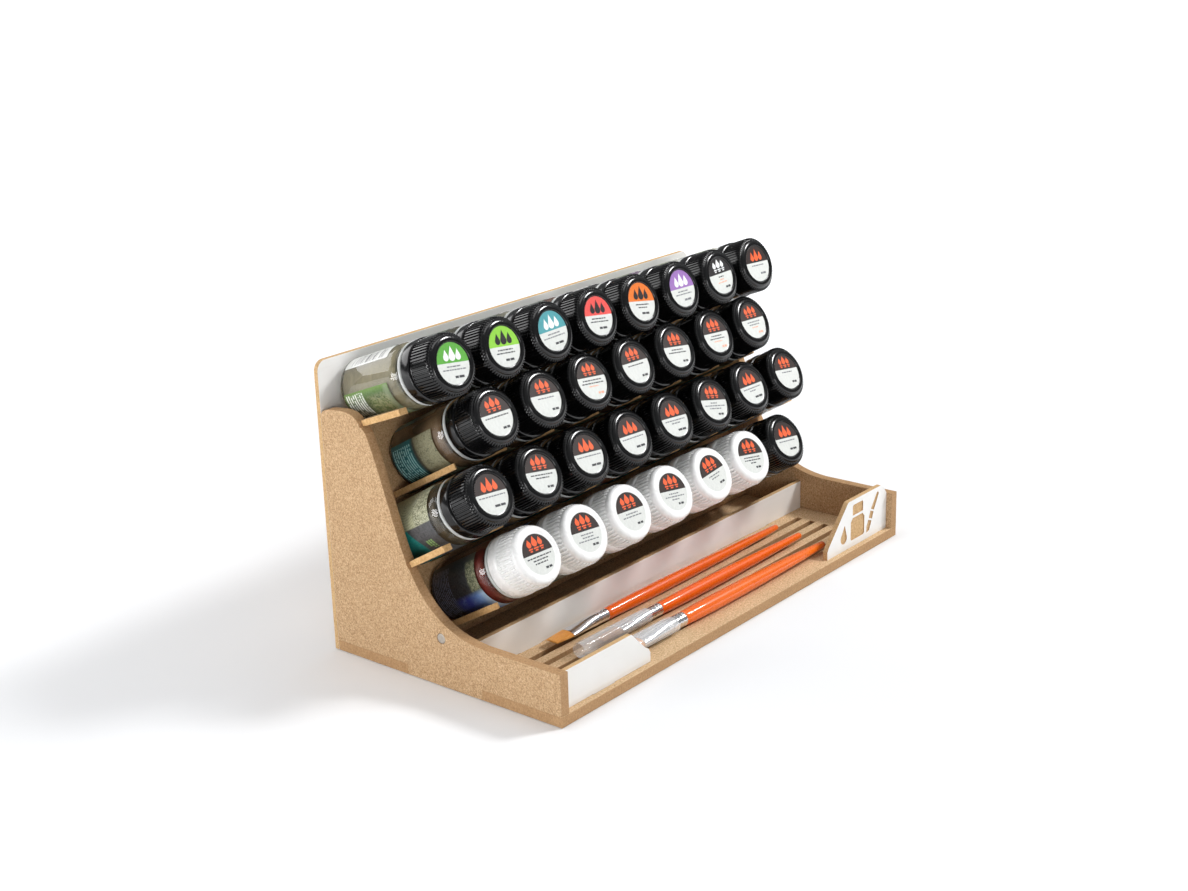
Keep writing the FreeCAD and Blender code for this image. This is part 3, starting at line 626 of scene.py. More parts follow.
# --------------------------------------------------------------- jar meshes
GLASS_OUT = [(0, -71.9), (13.5, -71.9), (14.6, -72.4), (16.2, -72.4), (17.2, -72.0), (17.8, -71.2), (18.0, -70.0), (18.0, -45.0), (18.0, -31.6), (17.9, -30.2),
             (17.55, -28.7), (17.0, -27.2), (16.65, -26.2), (16.55, -25.6), (16.55, -24.7), (16.55, -22.5),
             (14.6, -22.45), (14.6, -6.0)]
GLASS_IN = [(12.6, -6.0), (12.6, -24.0), (14.9, -27.7), (16.0, -29.8), (16.3, -31.6), (16.3, -45.0), (16.3, -68.8), (15.9, -70.0), (14.8, -70.6), (0, -70.7)]
glass_me = lathe("jar_glass", GLASS_OUT + GLASS_IN, 72, 50.0, flip=True)
PAINT = [(0, -70.78), (14.85, -70.68), (15.97, -70.05), (16.38, -68.8), (16.38, -45.0), (16.38, -31.6), (16.07, -29.75), (15.5, -28.6), (14.4, -28.1), (9.0, -28.0), (0, -28.0)]
paint_me = lathe("jar_paint", PAINT, 64, 50.0, flip=True)
# pale ring at the glass bead: painted highlight, not a real part of the jar
BEAD_HIGHLIGHT_RING = [(16.6, -22.55), (17.3, -22.7), (17.62, -23.1), (17.68, -23.7), (17.6, -24.2), (17.25, -24.55), (16.6, -24.7)]
bead_highlight_me = lathe("painted_bead_highlight_ring", BEAD_HIGHLIGHT_RING, 72, 40.0, flip=True)


def ribbed(name, rows, ribs, phases, heights, end):
    """rows: (radius, z, how much of the rib height).  Every rib has the given phases and heights."""
    per = len(phases)
    cols = ribs * per

    def place(i, j):
        r, z, amp = rows[i]
        k, p = divmod(j, per)
        t = 2 * math.pi * (k + phases[p]) / ribs
        rr = r + amp * heights[p]
        return (rr * math.cos(t), rr * math.sin(t), z)
    return grid_mesh(name, len(rows), cols, place, True, (0, 0, rows[0][1]), (0, 0, end), 30.0, flip=False)


BLACK_ROWS = [(6.0, -0.7, 0), (11.4, -0.7, 0), (11.6, -0.6, 0), (11.75, -0.25, 0), (12.0, -0.05, 0), (12.5, 0.0, 0), (13.3, -0.04, 0), (14.0, -0.2, 0), (14.6, -0.5, 0), (15.0, -0.95, 0),
              (15.15, -1.35, 0), (15.3, -1.5, 0.25), (15.75, -1.75, 0.8), (16.15, -2.3, 1.0), (16.35, -3.2, 1.0), (16.4, -5.0, 1.0), (16.4, -9.0, 1.0), (16.4, -13.4, 1.0),
              (16.4, -14.3, 0.95), (16.3, -14.9, 0.5), (16.2, -15.2, 0.0), (16.3, -15.6, 0), (17.25, -15.8, 0), (17.62, -16.1, 0), (17.75, -16.9, 0), (17.75, -21.2, 0), (17.6, -21.75, 0),
              (17.2, -22.0, 0), (15.4, -22.0, 0), (14.95, -21.6, 0), (14.95, -3.2, 0)]
black_me = ribbed("black_cap", BLACK_ROWS, 60, (0.0, 0.34, 0.48, 0.86), (0, 0, 0.8, 0.8), -3.2)
WHITE_ROWS = [(6.0, -0.35, 0), (12.4, -0.35, 0), (12.9, -0.24, 0), (13.4, -0.04, 0), (14.2, 0.0, 0), (15.0, -0.18, 0), (15.7, -0.62, 0), (16.2, -1.3, 0), (16.5, -2.2, 0), (16.55, -3.0, 0),
              (16.35, -3.7, 0.2), (16.15, -4.2, 0.7), (16.05, -4.8, 1.0), (16.05, -9.0, 1.0), (16.1, -13.6, 1.0), (16.3, -14.4, 0.8), (16.8, -14.9, 0.2), (17.1, -15.2, 0), (17.3, -15.5, 0), (17.6, -16.2, 0),
              (17.75, -17.0, 0), (17.75, -21.2, 0), (17.6, -21.75, 0), (17.2, -22.0, 0), (15.4, -22.0, 0), (14.95, -21.6, 0), (14.95, -3.2, 0)]
white_me = ribbed("white_cap", WHITE_ROWS, 46, (0.0, 0.36, 0.48, 0.88), (0, 0, 1.3, 1.3), -3.2)


def label_patch(name, a0, a1, v0, v1):
    """A curved sticker; the u of its map is the angle / 360, the v its height / 72.5."""
    cols = max(8, int((a1 - a0) / 4.0)) + 1
    rows = 9
    r = 18.07

    def place(i, j):
        t = math.radians(a0 + (a1 - a0) * j / (cols - 1))
        return (r * math.cos(t), r * math.sin(t), -72.5 + v0 + (v1 - v0) * i / (rows - 1))

    def uv(i, j):
        return ((a0 + (a1 - a0) * j / (cols - 1)) / 360.0, (v0 + (v1 - v0) * i / (rows - 1)) / 72.5)
    return grid_mesh(name, rows, cols, place, closed=False, sharp=60.0, uv=uv)


LABEL_MESH = {
    1: label_patch("sticker_1", 177, 492, 3.0, 38.6),
    2: label_patch("sticker_2", 153, 480, 3.2, 38.4),
    3: label_patch("sticker_3", 102, 440, 2.6, 40.0),
    4: label_patch("sticker_4", 124, 450, 2.0, 39.6),
}


# ------------------------------------------------------------- cap stickers
def drop_shape(cx, cy, w, h, n=14):
    """A teardrop, point up."""
    pts = []
    r = w / 2.0
    for k in range(n + 1):
        pts.append((cx + r * math.cos(math.radians(-215 + 250.0 * k / n)), cy + r * math.sin(math.radians(-215 + 250.0 * k / n))))
    pts.append((cx, cy + h - r))
    return pts


def disc_mesh(name, radius, z, chord, ink, mark, kind, lines, roll, seed):
    """The round sticker: paper, a coloured upper part, a generic mark and rows of dashes."""
    r = random.Random(seed)
    verts, faces, idx = [], [], []
    mats = [PAPER, INK[ink], INK[mark], INK["grey"], INK["coal"], INK["peach"]]
    ca, sa = math.cos(math.radians(roll)), math.sin(math.radians(roll))

    def poly(pts, dz, m):
        base = len(verts)
        for x, y in pts:
            verts.append(((ca * x - sa * y) * MM, (sa * x + ca * y) * MM, (z + dz) * MM))
        faces.append(tuple(range(base, base + len(pts))))
        idx.append(m)

    def bar(x0, x1, y0, y1, dz, m, skew=0.0):
        poly([(x0, y0), (x1, y0), (x1 + skew, y1), (x0 + skew, y1)], dz, m)

    circle = [(radius * math.cos(2 * math.pi * k / 56), radius * math.sin(2 * math.pi * k / 56)) for k in range(56)]
    poly(circle, 0.02, 0)
    t0 = math.asin(chord / radius)
    seg = [(radius * 1.0 * math.cos(t0 + (math.pi - 2 * t0) * k / 30), radius * math.sin(t0 + (math.pi - 2 * t0) * k / 30)) for k in range(31)]
    poly(seg, 0.06, 1)
    top = radius - chord
    # generic mark: three paint drops, and in the double kind their reflection below
    s = top / 11.0
    y0 = chord + 0.9 * s
    if kind == "A":
        for cx, w, h, dy in ((-4.3, 3.8, 6.2, 0.2), (0.1, 4.6, 8.2, 0.0), (4.5, 3.8, 6.2, 0.2)):
            poly(drop_shape(cx * s, y0 + dy * s + w * s / 2, w * s, h * s), 0.10, 2)
    else:
        for cx, w, h in ((-4.4, 3.5, 4.8), (0.0, 4.2, 6.2), (4.4, 3.5, 4.8)):
            poly(drop_shape(cx * s, y0 + 3.0 * s + w * s / 2, w * s, h * s), 0.10, 2)
        for cx, w in ((-4.4, 3.5), (0.0, 4.2), (4.4, 3.5)):
            for k in range(2):
                ww = w * (0.9 - 0.35 * k) / 2
                bar((cx - ww) * s, (cx + ww) * s, y0 + (1.7 - 1.25 * k) * s, y0 + (2.5 - 1.25 * k) * s, 0.10, 2, 0.3 * s)

    def dashes(yc, half, height, m):
        x = -half
        while x < half - 0.5:
            w = min(r.uniform(0.9, 2.6), half - x)
            bar(x, x + w, yc + height * 0.2, yc + height * 0.8, 0.06, m)
            x += w + 0.42

    y = chord - 2.5
    for count, tone in lines["rows"]:
        half = min(count * 0.62, math.sqrt(max(1.0, radius * radius - y * y)) - 1.6)
        dashes(y, half, 1.15, tone)
        y -= 1.75
    if lines["code"]:
        x0, yc, wd, tone = lines["code"]
        split = wd * r.uniform(0.35, 0.5)
        bar(x0, x0 + split, yc + 0.2, yc + 1.45, 0.06, tone)
        bar(x0 + split + 0.45, x0 + wd, yc + 0.2, yc + 1.45, 0.06, tone)
    me = bpy.data.meshes.new(name)
    me.from_pydata(verts, [], faces)
    for m in mats:
        me.materials.append(m)
    for p, m in zip(me.polygons, idx):
        p.material_index = m
    me.update()
    return me


G, K, P = 3, 4, 5      # grey, coal and peach print
STICKERS = {
    (1, 1): ("green", "white", "A", 0.4, -7.0, dict(rows=[(8, G), (13, G)], code=(-0.5, -8.0, 6.4, K))),
    (1, 2): ("lime", "black", "A", 0.2, -6.0, dict(rows=[(9, K), (11, K)], code=(-1.2, -8.0, 6.2, K))),
    (1, 3): ("teal", "white", "A", 0.4, 1.0, dict(rows=[(8, G), (15, G)], code=(-1.0, -8.0, 6.6, K))),
    (1, 4): ("red", "black", "A", 0.4, -7.5, dict(rows=[(10, K), (12, K)], code=(-1.2, -7.8, 6.2, K))),
    (1, 5): ("amber", "black", "A", 0.3, -9.0, dict(rows=[(9, K), (6, K)], code=(-1.4, -7.6, 6.2, K))),
    (1, 6): ("violet", "white", "A", 0.2, -1.5, dict(rows=[(8, G), (12, G)], code=(-0.6, -7.8, 6.0, G))),
    (1, 7): ("black", "white", "B", 1.4, 1.0, dict(rows=[(4, K), (3, P), (7, P)], code=(1.8, -8.2, 4.4, K))),
    (1, 8): ("brown", "orange", "A", 1.0, -3.0, dict(rows=[(10, G)], code=(1.0, -7.0, 5.2, G))),
    (2, 1): ("brown", "orange", "B", 1.3, -1.5, dict(rows=[(14, K)], code=(1.4, -8.2, 5.0, K))),
    (2, 2): ("brown", "orange", "B", 1.6, -5.0, dict(rows=[(10, G)], code=(2.0, -8.0, 5.0, K))),
    (2, 3): ("brown", "orange", "B", 2.0, -6.0, dict(rows=[(12, K), (14, K), (6, P)], code=(2.0, -8.4, 4.4, P))),
    (2, 4): ("brown", "orange", "B", 1.6, -2.0, dict(rows=[(11, K)], code=(2.0, -8.2, 4.8, K))),
    (2, 5): ("brown", "orange", "B", 1.6, -7.5, dict(rows=[(8, K), (13, K)], code=(2.2, -8.4, 4.4, K))),
    (2, 6): ("brown", "orange", "B", 1.2, -4.5, dict(rows=[(8, K), (11, K), (6, P)], code=(2.0, -8.6, 4.2, P))),
    (2, 7): ("brown", "orange", "B", 1.4, -2.5, dict(rows=[(10, G), (8, G), (5, P)], code=(1.6, -8.4, 4.2, P))),
    (3, 1): ("brown", "orange", "A", 0.8, -5.0, dict(rows=[(17, G)], code=(-0.4, -7.4, 7.6, K))),
    (3, 2): ("brown", "orange", "B", 1.3, -9.0, dict(rows=[(13, K), (8, K)], code=(1.6, -8.4, 4.6, K))),
    (3, 3): ("brown", "orange", "A", 0.8, -5.5, dict(rows=[(17, G)], code=(-0.2, -7.4, 7.2, K))),
    (3, 4): ("brown", "orange", "A", 0.8, -2.5, dict(rows=[(15, G)], code=(-0.2, -7.6, 7.2, K))),
    (3, 5): ("brown", "orange", "A", 0.8, -4.5, dict(rows=[(14, G), (6, G)], code=(-0.2, -8.0, 7.0, K))),
    (3, 6): ("brown", "orange", "B", 1.3, -12.5, dict(rows=[(5, G), (14, G), (8, G)], code=(1.2, -8.4, 4.6, K))),
    (3, 7): ("brown", "orange", "A", 0.9, -1.0, dict(rows=[(14, G), (5, G)], code=(-0.2, -7.8, 7.0, K))),
    (3, 8): ("brown", "orange", "B", 1.8, -7.0, dict(rows=[(8, G)], code=(2.0, -7.6, 4.4, K))),
    (4, 1): ("brown", "orange", "B", 0.8, -2.0, dict(rows=[(15, K), (9, K), (8, K)], code=(1.4, -8.8, 4.8, K))),
    (4, 2): ("brown", "orange", "B", 0.8, -5.0, dict(rows=[(8, G), (7, G), (13, G)], code=(1.6, -8.4, 4.6, K))),
    (4, 3): ("brown", "orange", "B", 0.8, -3.5, dict(rows=[(8, G), (13, G)], code=(1.6, -8.4, 4.6, K))),
    (4, 4): ("brown", "orange", "B", 0.8, -8.0, dict(rows=[(7, G), (13, G), (5, G)], code=(1.2, -8.2, 4.4, K))),
    (4, 5): ("brown", "orange", "B", 0.8, 5.5, dict(rows=[(9, G), (6, G)], code=(1.6, -7.8, 4.6, K))),
    (4, 6): ("brown", "orange", "B", 0.8, -9.0, dict(rows=[(12, K), (12, K), (4, K)], code=(1.2, -8.4, 4.4, K))),
    (4, 7): ("brown", "orange", "A", 0.8, -6.5, dict(rows=[(13, G)], code=(0.0, -7.4, 6.4, K))),
}

ROWS = {1: (4.7, 170.9, 20.8, 8), 2: (-5.4, 139.65, 28.7, 7), 3: (-17.6, 104.2, 30.0, 8), 4: (-30.7, 67.3, 30.0, 7)}
PITCH = 39.54
for r, (yc, zc, tilt, count) in ROWS.items():
    for i in range(1, count + 1):
        x = PITCH * (i - 1 - (count - 1) / 2.0)
        place = Matrix.Translation(Vector((x, yc, zc)) * MM) @ Matrix.Rotation(math.radians(90.0 - tilt), 4, "X")
        jar = "jar_%d_%d" % (r, i)
        cap_body = "cap_%d_1" % r if i == 1 else jar
        spin = 0.0 if i == 1 else rng.uniform(0, 360)
        turned = place @ Matrix.Rotation(math.radians(spin), 4, "Z")
        ribs_turn = place @ Matrix.Rotation(math.radians(rng.uniform(0, 6) if r > 1 else 0.0), 4, "Z")
        piece("glass_%d_%d" % (r, i), glass_me, GLASS, place, jar, (jar,))
        col, dark = PAINTS[r][i - 1]
        pm = paint_material("paint_%d_%d" % (r, i), lin(*col), lin(*dark), r * 9 + i, 0.85 if (r, i) == (1, 1) else 0.6)
        piece("paint_%d_%d" % (r, i), paint_me, pm, place, jar, ())
        # the pale bead ring: painted highlight
        piece("seal_%d_%d" % (r, i), bead_highlight_me, BEAD_HIGHLIGHT_MAT, place, jar, ())
        piece("sticker_%d_%d" % (r, i), LABEL_MESH[r], LABEL[r], turned, jar, ())
        white = r == 4 and i < 7
        cap = piece("lid_%d_%d" % (r, i), white_me if white else black_me, WHITECAP if white else BLACK, ribs_turn, cap_body, (cap_body,) if i == 1 else ())
        ink, mark, kind, chord, roll, lines = STICKERS[(r, i)]
        dm = disc_mesh("disc_%d_%d" % (r, i), 11.3 if white else 11.2, -0.35 if white else -0.7, chord, ink, mark, kind, lines, roll, r * 100 + i)
        piece("disc_%d_%d" % (r, i), dm, [PAPER, INK[ink], INK[mark], INK["grey"], INK["coal"], INK["peach"]], place, cap_body, ())


# -------------------------------------------------------- right front plate
def plate_points(pts):
    return [((x - W2) * MM, z * MM) for x, z in pts]


def slab(name, pts, y0, y1, mat_index=0):
    """A flat shape in X and Z, from y0 to y1 (metres)."""
    bm = bmesh.new()
    front = [bm.verts.new((x, y0, z)) for x, z in pts]
    back = [bm.verts.new((x, y1, z)) for x, z in pts]
    bm.faces.new(front)
    bm.faces.new(back[::-1])
    n = len(pts)
    for k in range(n):
        bm.faces.new((front[k], back[k], back[(k + 1) % n], front[(k + 1) % n]))
    bmesh.ops.recalc_face_normals(bm, faces=bm.faces)
    me = bpy.data.meshes.new(name)
    bm.to_mesh(me)
    bm.free()
    return me


XI = W2 + W2 - 6.05
plate = [(255.0, 6.0), (255.0, 11.2), (256.4, 13.4), (278.0, 36.0), (279.6, 36.4), (317.0, 36.4), (320.5, 34.0), (XI, 29.6), (XI, 6.0), (304.0, 6.0), (304.0, 0.0), (286.0, 0.0), (286.0, 6.0)]
py0, py1 = (4.0 + Y0) * MM, (7.0 + Y0) * MM
plate_me = slab("front_plate_right_panel", plate_points(plate), py0, py1)
for m in (WHITE, FACE, BARE, BARE):
    plate_me.materials.append(m)
for p in plate_me.polygons:
    p.material_index = 0 if p.normal.y < -0.9 else 1 if p.normal.y > 0.9 else 2
panel = link(bpy.data.objects.new("front_plate_right_panel", plate_me))

ENGRAVED = [
    # a paint drop
    [(273.6 + 3.6 * math.cos(t), 14.2 + 3.6 * math.sin(t)) for t in [math.radians(-215 + 250 * k / 16) for k in range(17)]] + [(274.6, 22.6)],
    # a jar: body and cap
    [(282.6, 10.2), (296.6, 10.2), (297.6, 11.2), (297.6, 22.2), (295.4, 24.6), (283.8, 24.6), (281.6, 22.2), (281.6, 11.2)],
    [(283.6, 26.2), (295.8, 26.2), (295.8, 32.0), (294.8, 33.0), (284.6, 33.0), (283.6, 32.0)],
    # a brush: bristles, ferrule and handle
    [(300.2, 9.8), (303.6, 10.6), (306.2, 16.2), (302.4, 17.8), (300.4, 14.0)],
    [(302.9, 18.9), (306.8, 17.3), (308.6, 21.6), (304.8, 23.2)],
    [(305.3, 24.2), (309.0, 22.6), (314.6, 32.2), (313.6, 33.4), (312.4, 33.4)],
]
for k, pts in enumerate(ENGRAVED):
    cutter_me = slab("cutter_%d" % k, plate_points(pts), py0 - 0.001, py0 + 0.0006)
    for m in (BARE, BARE, BARE, BARE):
        cutter_me.materials.append(m)
    for p in cutter_me.polygons:
        p.material_index = 3
    cutter = link(bpy.data.objects.new("cutter_%d" % k, cutter_me))
    b = panel.modifiers.new("engrave_%d" % k, "BOOLEAN")
    b.operation = "DIFFERENCE"
    b.solver = "EXACT"
    b.object = cutter
bpy.context.view_layer.update()
done = bpy.data.meshes.new_from_object(panel.evaluated_get(bpy.context.evaluated_depsgraph_get()))
panel.modifiers.clear()
old = panel.data
panel.data = done
panel.data.name = "front_plate_right_mesh"
for obj in [o for o in scene.objects if o.name.startswith("cutter_")]:
    bpy.data.objects.remove(obj)
b = panel.modifiers.new("soft_edges", "BEVEL")
b.width = 0.00025
b.segments = 2
b.limit_method = "ANGLE"
b.angle_limit = math.radians(38)
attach(panel, "root")
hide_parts("front_plate_right")


# ------------------------------------------------------------------ brushes
def lacquer(name, base, tint, tail=None):
    m = Mat(name)
    vec = m.coord()
    grain = m.noise(120.0, 4.0, 0.6, m.scaled(vec, (0.06, 1.0, 1.0)), 0.4)
    fine = m.noise(900.0, 2.0, 0.5, vec)
    col = m.mix(m.span(grain, 0.35, 0.7, 0.0, 0.8), base, tint)
    if tail:
        sep = m.nt.nodes.new("ShaderNodeSeparateXYZ")
        m.link(vec, sep.inputs[0])
        edge = m.math("ADD", sep.outputs[0], m.span(fine, 0.3, 0.7, -0.0012, 0.0012))
        col = m.mix(m.span(edge, tail[0], tail[1], smooth=True), col, tail[2])
    m.set("Base Color", col)
    m.set("Roughness", m.span(fine, 0.3, 0.7, 0.24, 0.34))
    m.set("Specular IOR Level", 0.25)
    m.set("Coat Weight", 1.0)
    m.set("Coat Roughness", 0.035)
    m.bump(grain, 0.03, 0.0001)
    return m.mat


LACQUER = lacquer("orange_lacquer_plain", lin(240, 90, 6), lin(248, 112, 14))
LACQUER_TAIL = lacquer("orange_lacquer_worn_tail", lin(236, 96, 12), lin(244, 116, 24), (0.196, 0.2035, lin(112, 40, 26)))


def metal(name, base, rough_lo, rough_hi, lines=True):
    m = Mat(name, Metallic=1.0)
    vec = m.coord()
    drawn = m.noise(500.0, 3.0, 0.6, m.scaled(vec, (0.05, 1.0, 1.0) if lines else (1, 1, 1)))
    m.set("Base Color", m.mix(m.span(drawn, 0.35, 0.7), base, (base[0] * 0.88, base[1] * 0.88, base[2] * 0.9, 1)))
    m.set("Roughness", m.span(drawn, 0.3, 0.7, rough_lo, rough_hi))
    m.bump(drawn, 0.05, 0.0001)
    return m.mat


FERRULE = metal("ferrule_metal", (0.86, 0.86, 0.87, 1), 0.14, 0.26)
NICKEL = metal("magnet_nickel", (0.52, 0.47, 0.41, 1), 0.42, 0.58, False)


def hair_material(name, root, tip):
    m = Mat(name)
    vec = m.coord()
    strand = m.noise(1.0, 3.0, 0.6, m.scaled(vec, (180.0, 3800.0, 3800.0)))
    sheen = m.noise(60.0, 2.0, 0.5, vec)
    col = m.ramp(strand, [(0.30, root), (0.52, tip), (0.72, lin(250, 206, 120))])
    m.set("Base Color", m.mix(m.span(sheen, 0.35, 0.7, 0.0, 0.3), col, root))
    m.set("Roughness", m.span(strand, 0.3, 0.7, 0.36, 0.55))
    m.set("Sheen Weight", 0.25)
    m.bump(strand, 0.5, 0.0002)
    return m.mat


HAIR = hair_material("golden_hair", lin(222, 148, 52), lin(250, 186, 84))
HAIR_BROWN = hair_material("brown_hair", lin(158, 112, 78), lin(206, 160, 118))


def clear_tube():
    m = Mat("clear_tube_plastic")
    vec = m.coord()
    n = m.noise(90.0, 3.0, 0.6, m.scaled(vec, (0.3, 1, 1)))
    m.set("Base Color", m.mix(m.span(n, 0.35, 0.7), (0.90, 0.91, 0.92, 1), (0.96, 0.965, 0.97, 1)))
    m.set("Roughness", m.span(n, 0.3, 0.7, 0.05, 0.12))
    m.set("Specular IOR Level", 0.8)
    lw = m.nt.nodes.new("ShaderNodeLayerWeight")
    lw.inputs[0].default_value = 0.35
    m.set("Alpha", m.span(lw.outputs["Facing"], 0.0, 1.0, 0.10, 0.55))
    m.bump(n, 0.03, 0.0004)
    return m.mat


TUBE = clear_tube()
BRUSHES = {
    1: dict(hair=13.5, ferrule=33.0, handle=170.0, a=5.2, b=2.0, rf=3.5, rh=4.0, re=2.0, x=60.0, y=57.8, z=10.15, yaw=-0.8, sleeve=None, tuft=HAIR),
    2: dict(hair=17.0, ferrule=36.0, handle=143.0, a=3.8, b=1.9, rf=3.6, rh=4.1, re=2.1, x=76.0, y=37.3, z=10.55, yaw=-0.8, sleeve=(-17.0, 59.0, 4.4, 4.4), tuft=HAIR_BROWN),
    3: dict(hair=20.0, ferrule=39.0, handle=142.0, a=5.3, b=2.6, rf=4.2, rh=4.7, re=2.3, x=66.0, y=18.3, z=10.85, yaw=-1.15, sleeve=(-4.0, 54.0, 6.0, 4.3), tuft=HAIR),
}


def smooth_through(points, t):
    """Catmull-Rom value through (s, r) points at s = t."""
    pts = points
    for k in range(len(pts) - 1):
        if t <= pts[k + 1][0] or k == len(pts) - 2:
            p0 = pts[max(k - 1, 0)]
            p1, p2 = pts[k], pts[k + 1]
            p3 = pts[min(k + 2, len(pts) - 1)]
            u = (t - p1[0]) / (p2[0] - p1[0])
            m1 = (p2[1] - p0[1]) / (p2[0] - p0[0]) * (p2[0] - p1[0])
            m2 = (p3[1] - p1[1]) / (p3[0] - p1[0]) * (p2[0] - p1[0])
            return (2 * u ** 3 - 3 * u ** 2 + 1) * p1[1] + (u ** 3 - 2 * u ** 2 + u) * m1 + (-2 * u ** 3 + 3 * u ** 2) * p2[1] + (u ** 3 - u ** 2) * m2
    return pts[-1][1]


for k, q in BRUSHES.items():
    body = "brush_%d" % k
    at = Matrix.Translation(Vector((q["x"] - W2, q["y"] + Y0, q["z"])) * MM) @ Matrix.Rotation(math.radians(q["yaw"]), 4, "Z")
    h0, h1 = q["hair"], q["hair"] + q["ferrule"]
    hl = q["handle"]
    h2 = h1 + hl
    # handle
    curve = [(h1, q["rf"]), (h1 + 0.10 * hl, q["rf"] + 0.75 * (q["rh"] - q["rf"])), (h1 + 0.22 * hl, q["rh"]), (h1 + 0.45 * hl, q["rh"] * 0.93),
             (h1 + 0.75 * hl, q["re"] + 0.45 * (q["rh"] - q["re"])), (h2 - q["re"], q["re"])]
    stations = [h1 - 1.0] + [h1 + 0.02 + (h2 - q["re"] - h1 - 0.02) * s / 34.0 for s in range(35)]
    radii = [q["rf"] * 0.86] + [smooth_through(curve, s) - 0.04 for s in stations[1:]]
    for s in range(1, 7):
        t = math.radians(90 * s / 7.0)
        stations.append(h2 - q["re"] + q["re"] * math.sin(t))
        radii.append((q["re"] - 0.04) * math.cos(t))

    def place(i, j, st=stations, ra=radii):
        t = 2 * math.pi * j / 28
        return (st[i], ra[i] * math.cos(t), ra[i] * math.sin(t))
    me = grid_mesh("handle_%d" % k, len(stations), 28, place, True, (h1 - 1.0, 0, 0), (h2, 0, 0), 50.0)
    piece("brush_%d_handle_turned" % k, me, LACQUER_TAIL if k == 3 else LACQUER, at, body, ("brush_%d_handle" % k,))
    # ferrule: flat mouth to round end, with three crimps and a row of dimples
    fl = q["ferrule"]
    n_st = 60
    st = [h0 + fl * s / (n_st - 1.0) for s in range(n_st)]

    def ferrule_at(i, j, st=st, q=q, h0=h0, h1=h1, fl=fl):
        s = st[i]
        u = (s - h0) / fl
        blend = min(1.0, max(0.0, u / 0.72))
        blend = blend * blend * (3 - 2 * blend)
        ra = q["a"] + (q["rf"] - q["a"]) * blend
        rb = q["b"] + (q["rf"] - q["b"]) * blend
        groove = 0.0
        for c in (h1 - 2.6, h1 - 5.0, h1 - 8.0):
            groove += 0.34 * math.exp(-((s - c) / 0.55) ** 2)
        t = 2 * math.pi * j / 48
        groove += 0.22 * math.exp(-((s - (h1 - 6.5)) / 0.5) ** 2) * (0.5 + 0.5 * math.cos(12 * t))
        rim = 0.12 if (i == 0 or i == n_st - 1) else 0.0
        k1 = 1 - (groove + rim) / max(ra, 1.0)
        k2 = 1 - (groove + rim) / max(rb, 1.0)
        return (s, ra * k1 * math.cos(t), rb * k2 * math.sin(t))
    me = grid_mesh("ferrule_%d" % k, n_st, 48, ferrule_at, True, (h0 + 0.4, 0, 0), (h1, 0, 0), 50.0)
    piece("brush_%d_ferrule_crimped" % k, me, FERRULE, at, body, ("brush_%d_ferrule" % k,))
    # bristles: a shaped core and loose strands that follow it
    hair_r = random.Random(90 + k)
    bm = bmesh.new()

    def core(s, t, q=q, h0=h0):
        u = max(0.0, min(1.0, s / h0))
        wa = q["a"] * (0.80 + 0.14 * u)
        wb = 0.35 + (q["b"] - 0.55) * u ** 0.7
        return wa * math.cos(t), wb * math.sin(t)
    rings = []
    for i in range(12):
        s = h0 * (0.06 + 0.97 * i / 11.0)
        ring = []
        for j in range(40):
            t = 2 * math.pi * j / 40
            y, z = core(s, t)
            jag = (hair_r.random() - 0.5) * (0.9 if i == 0 else 0.12)
            ring.append(bm.verts.new(((s + jag) * MM, y * 0.94 * MM, z * 0.94 * MM)))
        rings.append(ring)
    for i in range(11):
        for j in range(40):
            bm.faces.new((rings[i][j], rings[i][(j + 1) % 40], rings[i + 1][(j + 1) % 40], rings[i + 1][j]))
    bm.faces.new(rings[0][::-1])
    bm.faces.new(rings[-1])
    for f in range(190):
        t = hair_r.uniform(0, 2 * math.pi)
        if hair_r.random() < 0.5:
            t = math.copysign(math.acos(hair_r.uniform(-1, 1)), hair_r.uniform(-1, 1))
        tip = h0 * hair_r.uniform(0.0, 0.10)
        w = 0.09
        pts = []
        for i in range(6):
            s = h0 * 1.02 + (tip - h0 * 1.02) * i / 5.0
            y, z = core(max(s, 0.0), t)
            spread = 1.0 + 0.05 * hair_r.random() * i / 5.0
            pts.append(Vector((s, y * spread, z * spread)))
        prev = None
        for i, p in enumerate(pts):
            ww = w * (1.0 - 0.75 * i / 5.0)
            tri = [bm.verts.new((p + Vector((0, ww * math.cos(2 * math.pi * m / 3), ww * math.sin(2 * math.pi * m / 3)))) * MM) for m in range(3)]
            if prev:
                for m in range(3):
                    bm.faces.new((prev[m], prev[(m + 1) % 3], tri[(m + 1) % 3], tri[m]))
            else:
                bm.faces.new(tri[::-1])
            prev = tri
        bm.faces.new(prev)
    bmesh.ops.recalc_face_normals(bm, faces=bm.faces)
    me = bpy.data.meshes.new("tuft_%d" % k)
    bm.to_mesh(me)
    bm.free()
    mark_sharp(me, 60.0)
    piece("brush_%d_tuft" % k, me, q["tuft"], at, body, ("brush_%d_bristles" % k,))
    if q["sleeve"]:
        start, length, ra, rb = q["sleeve"]
        wall = 0.35
        loop = [(start + 0.12, -0.0)] + [(start + 0.25 + (length - 0.5) * s / 10.0, 0.0) for s in range(11)] + [(start + length - 0.12, 0.0)]
        outer = [(x, 0.0 if 0 < i < len(loop) - 1 else 0.10) for i, (x, _) in enumerate(loop)]
        inner = [(x, wall if 0 < i < len(loop) - 1 else wall - 0.10) for i, (x, _) in enumerate(loop)][::-1]
        ring_pts = outer + inner + [outer[0]]

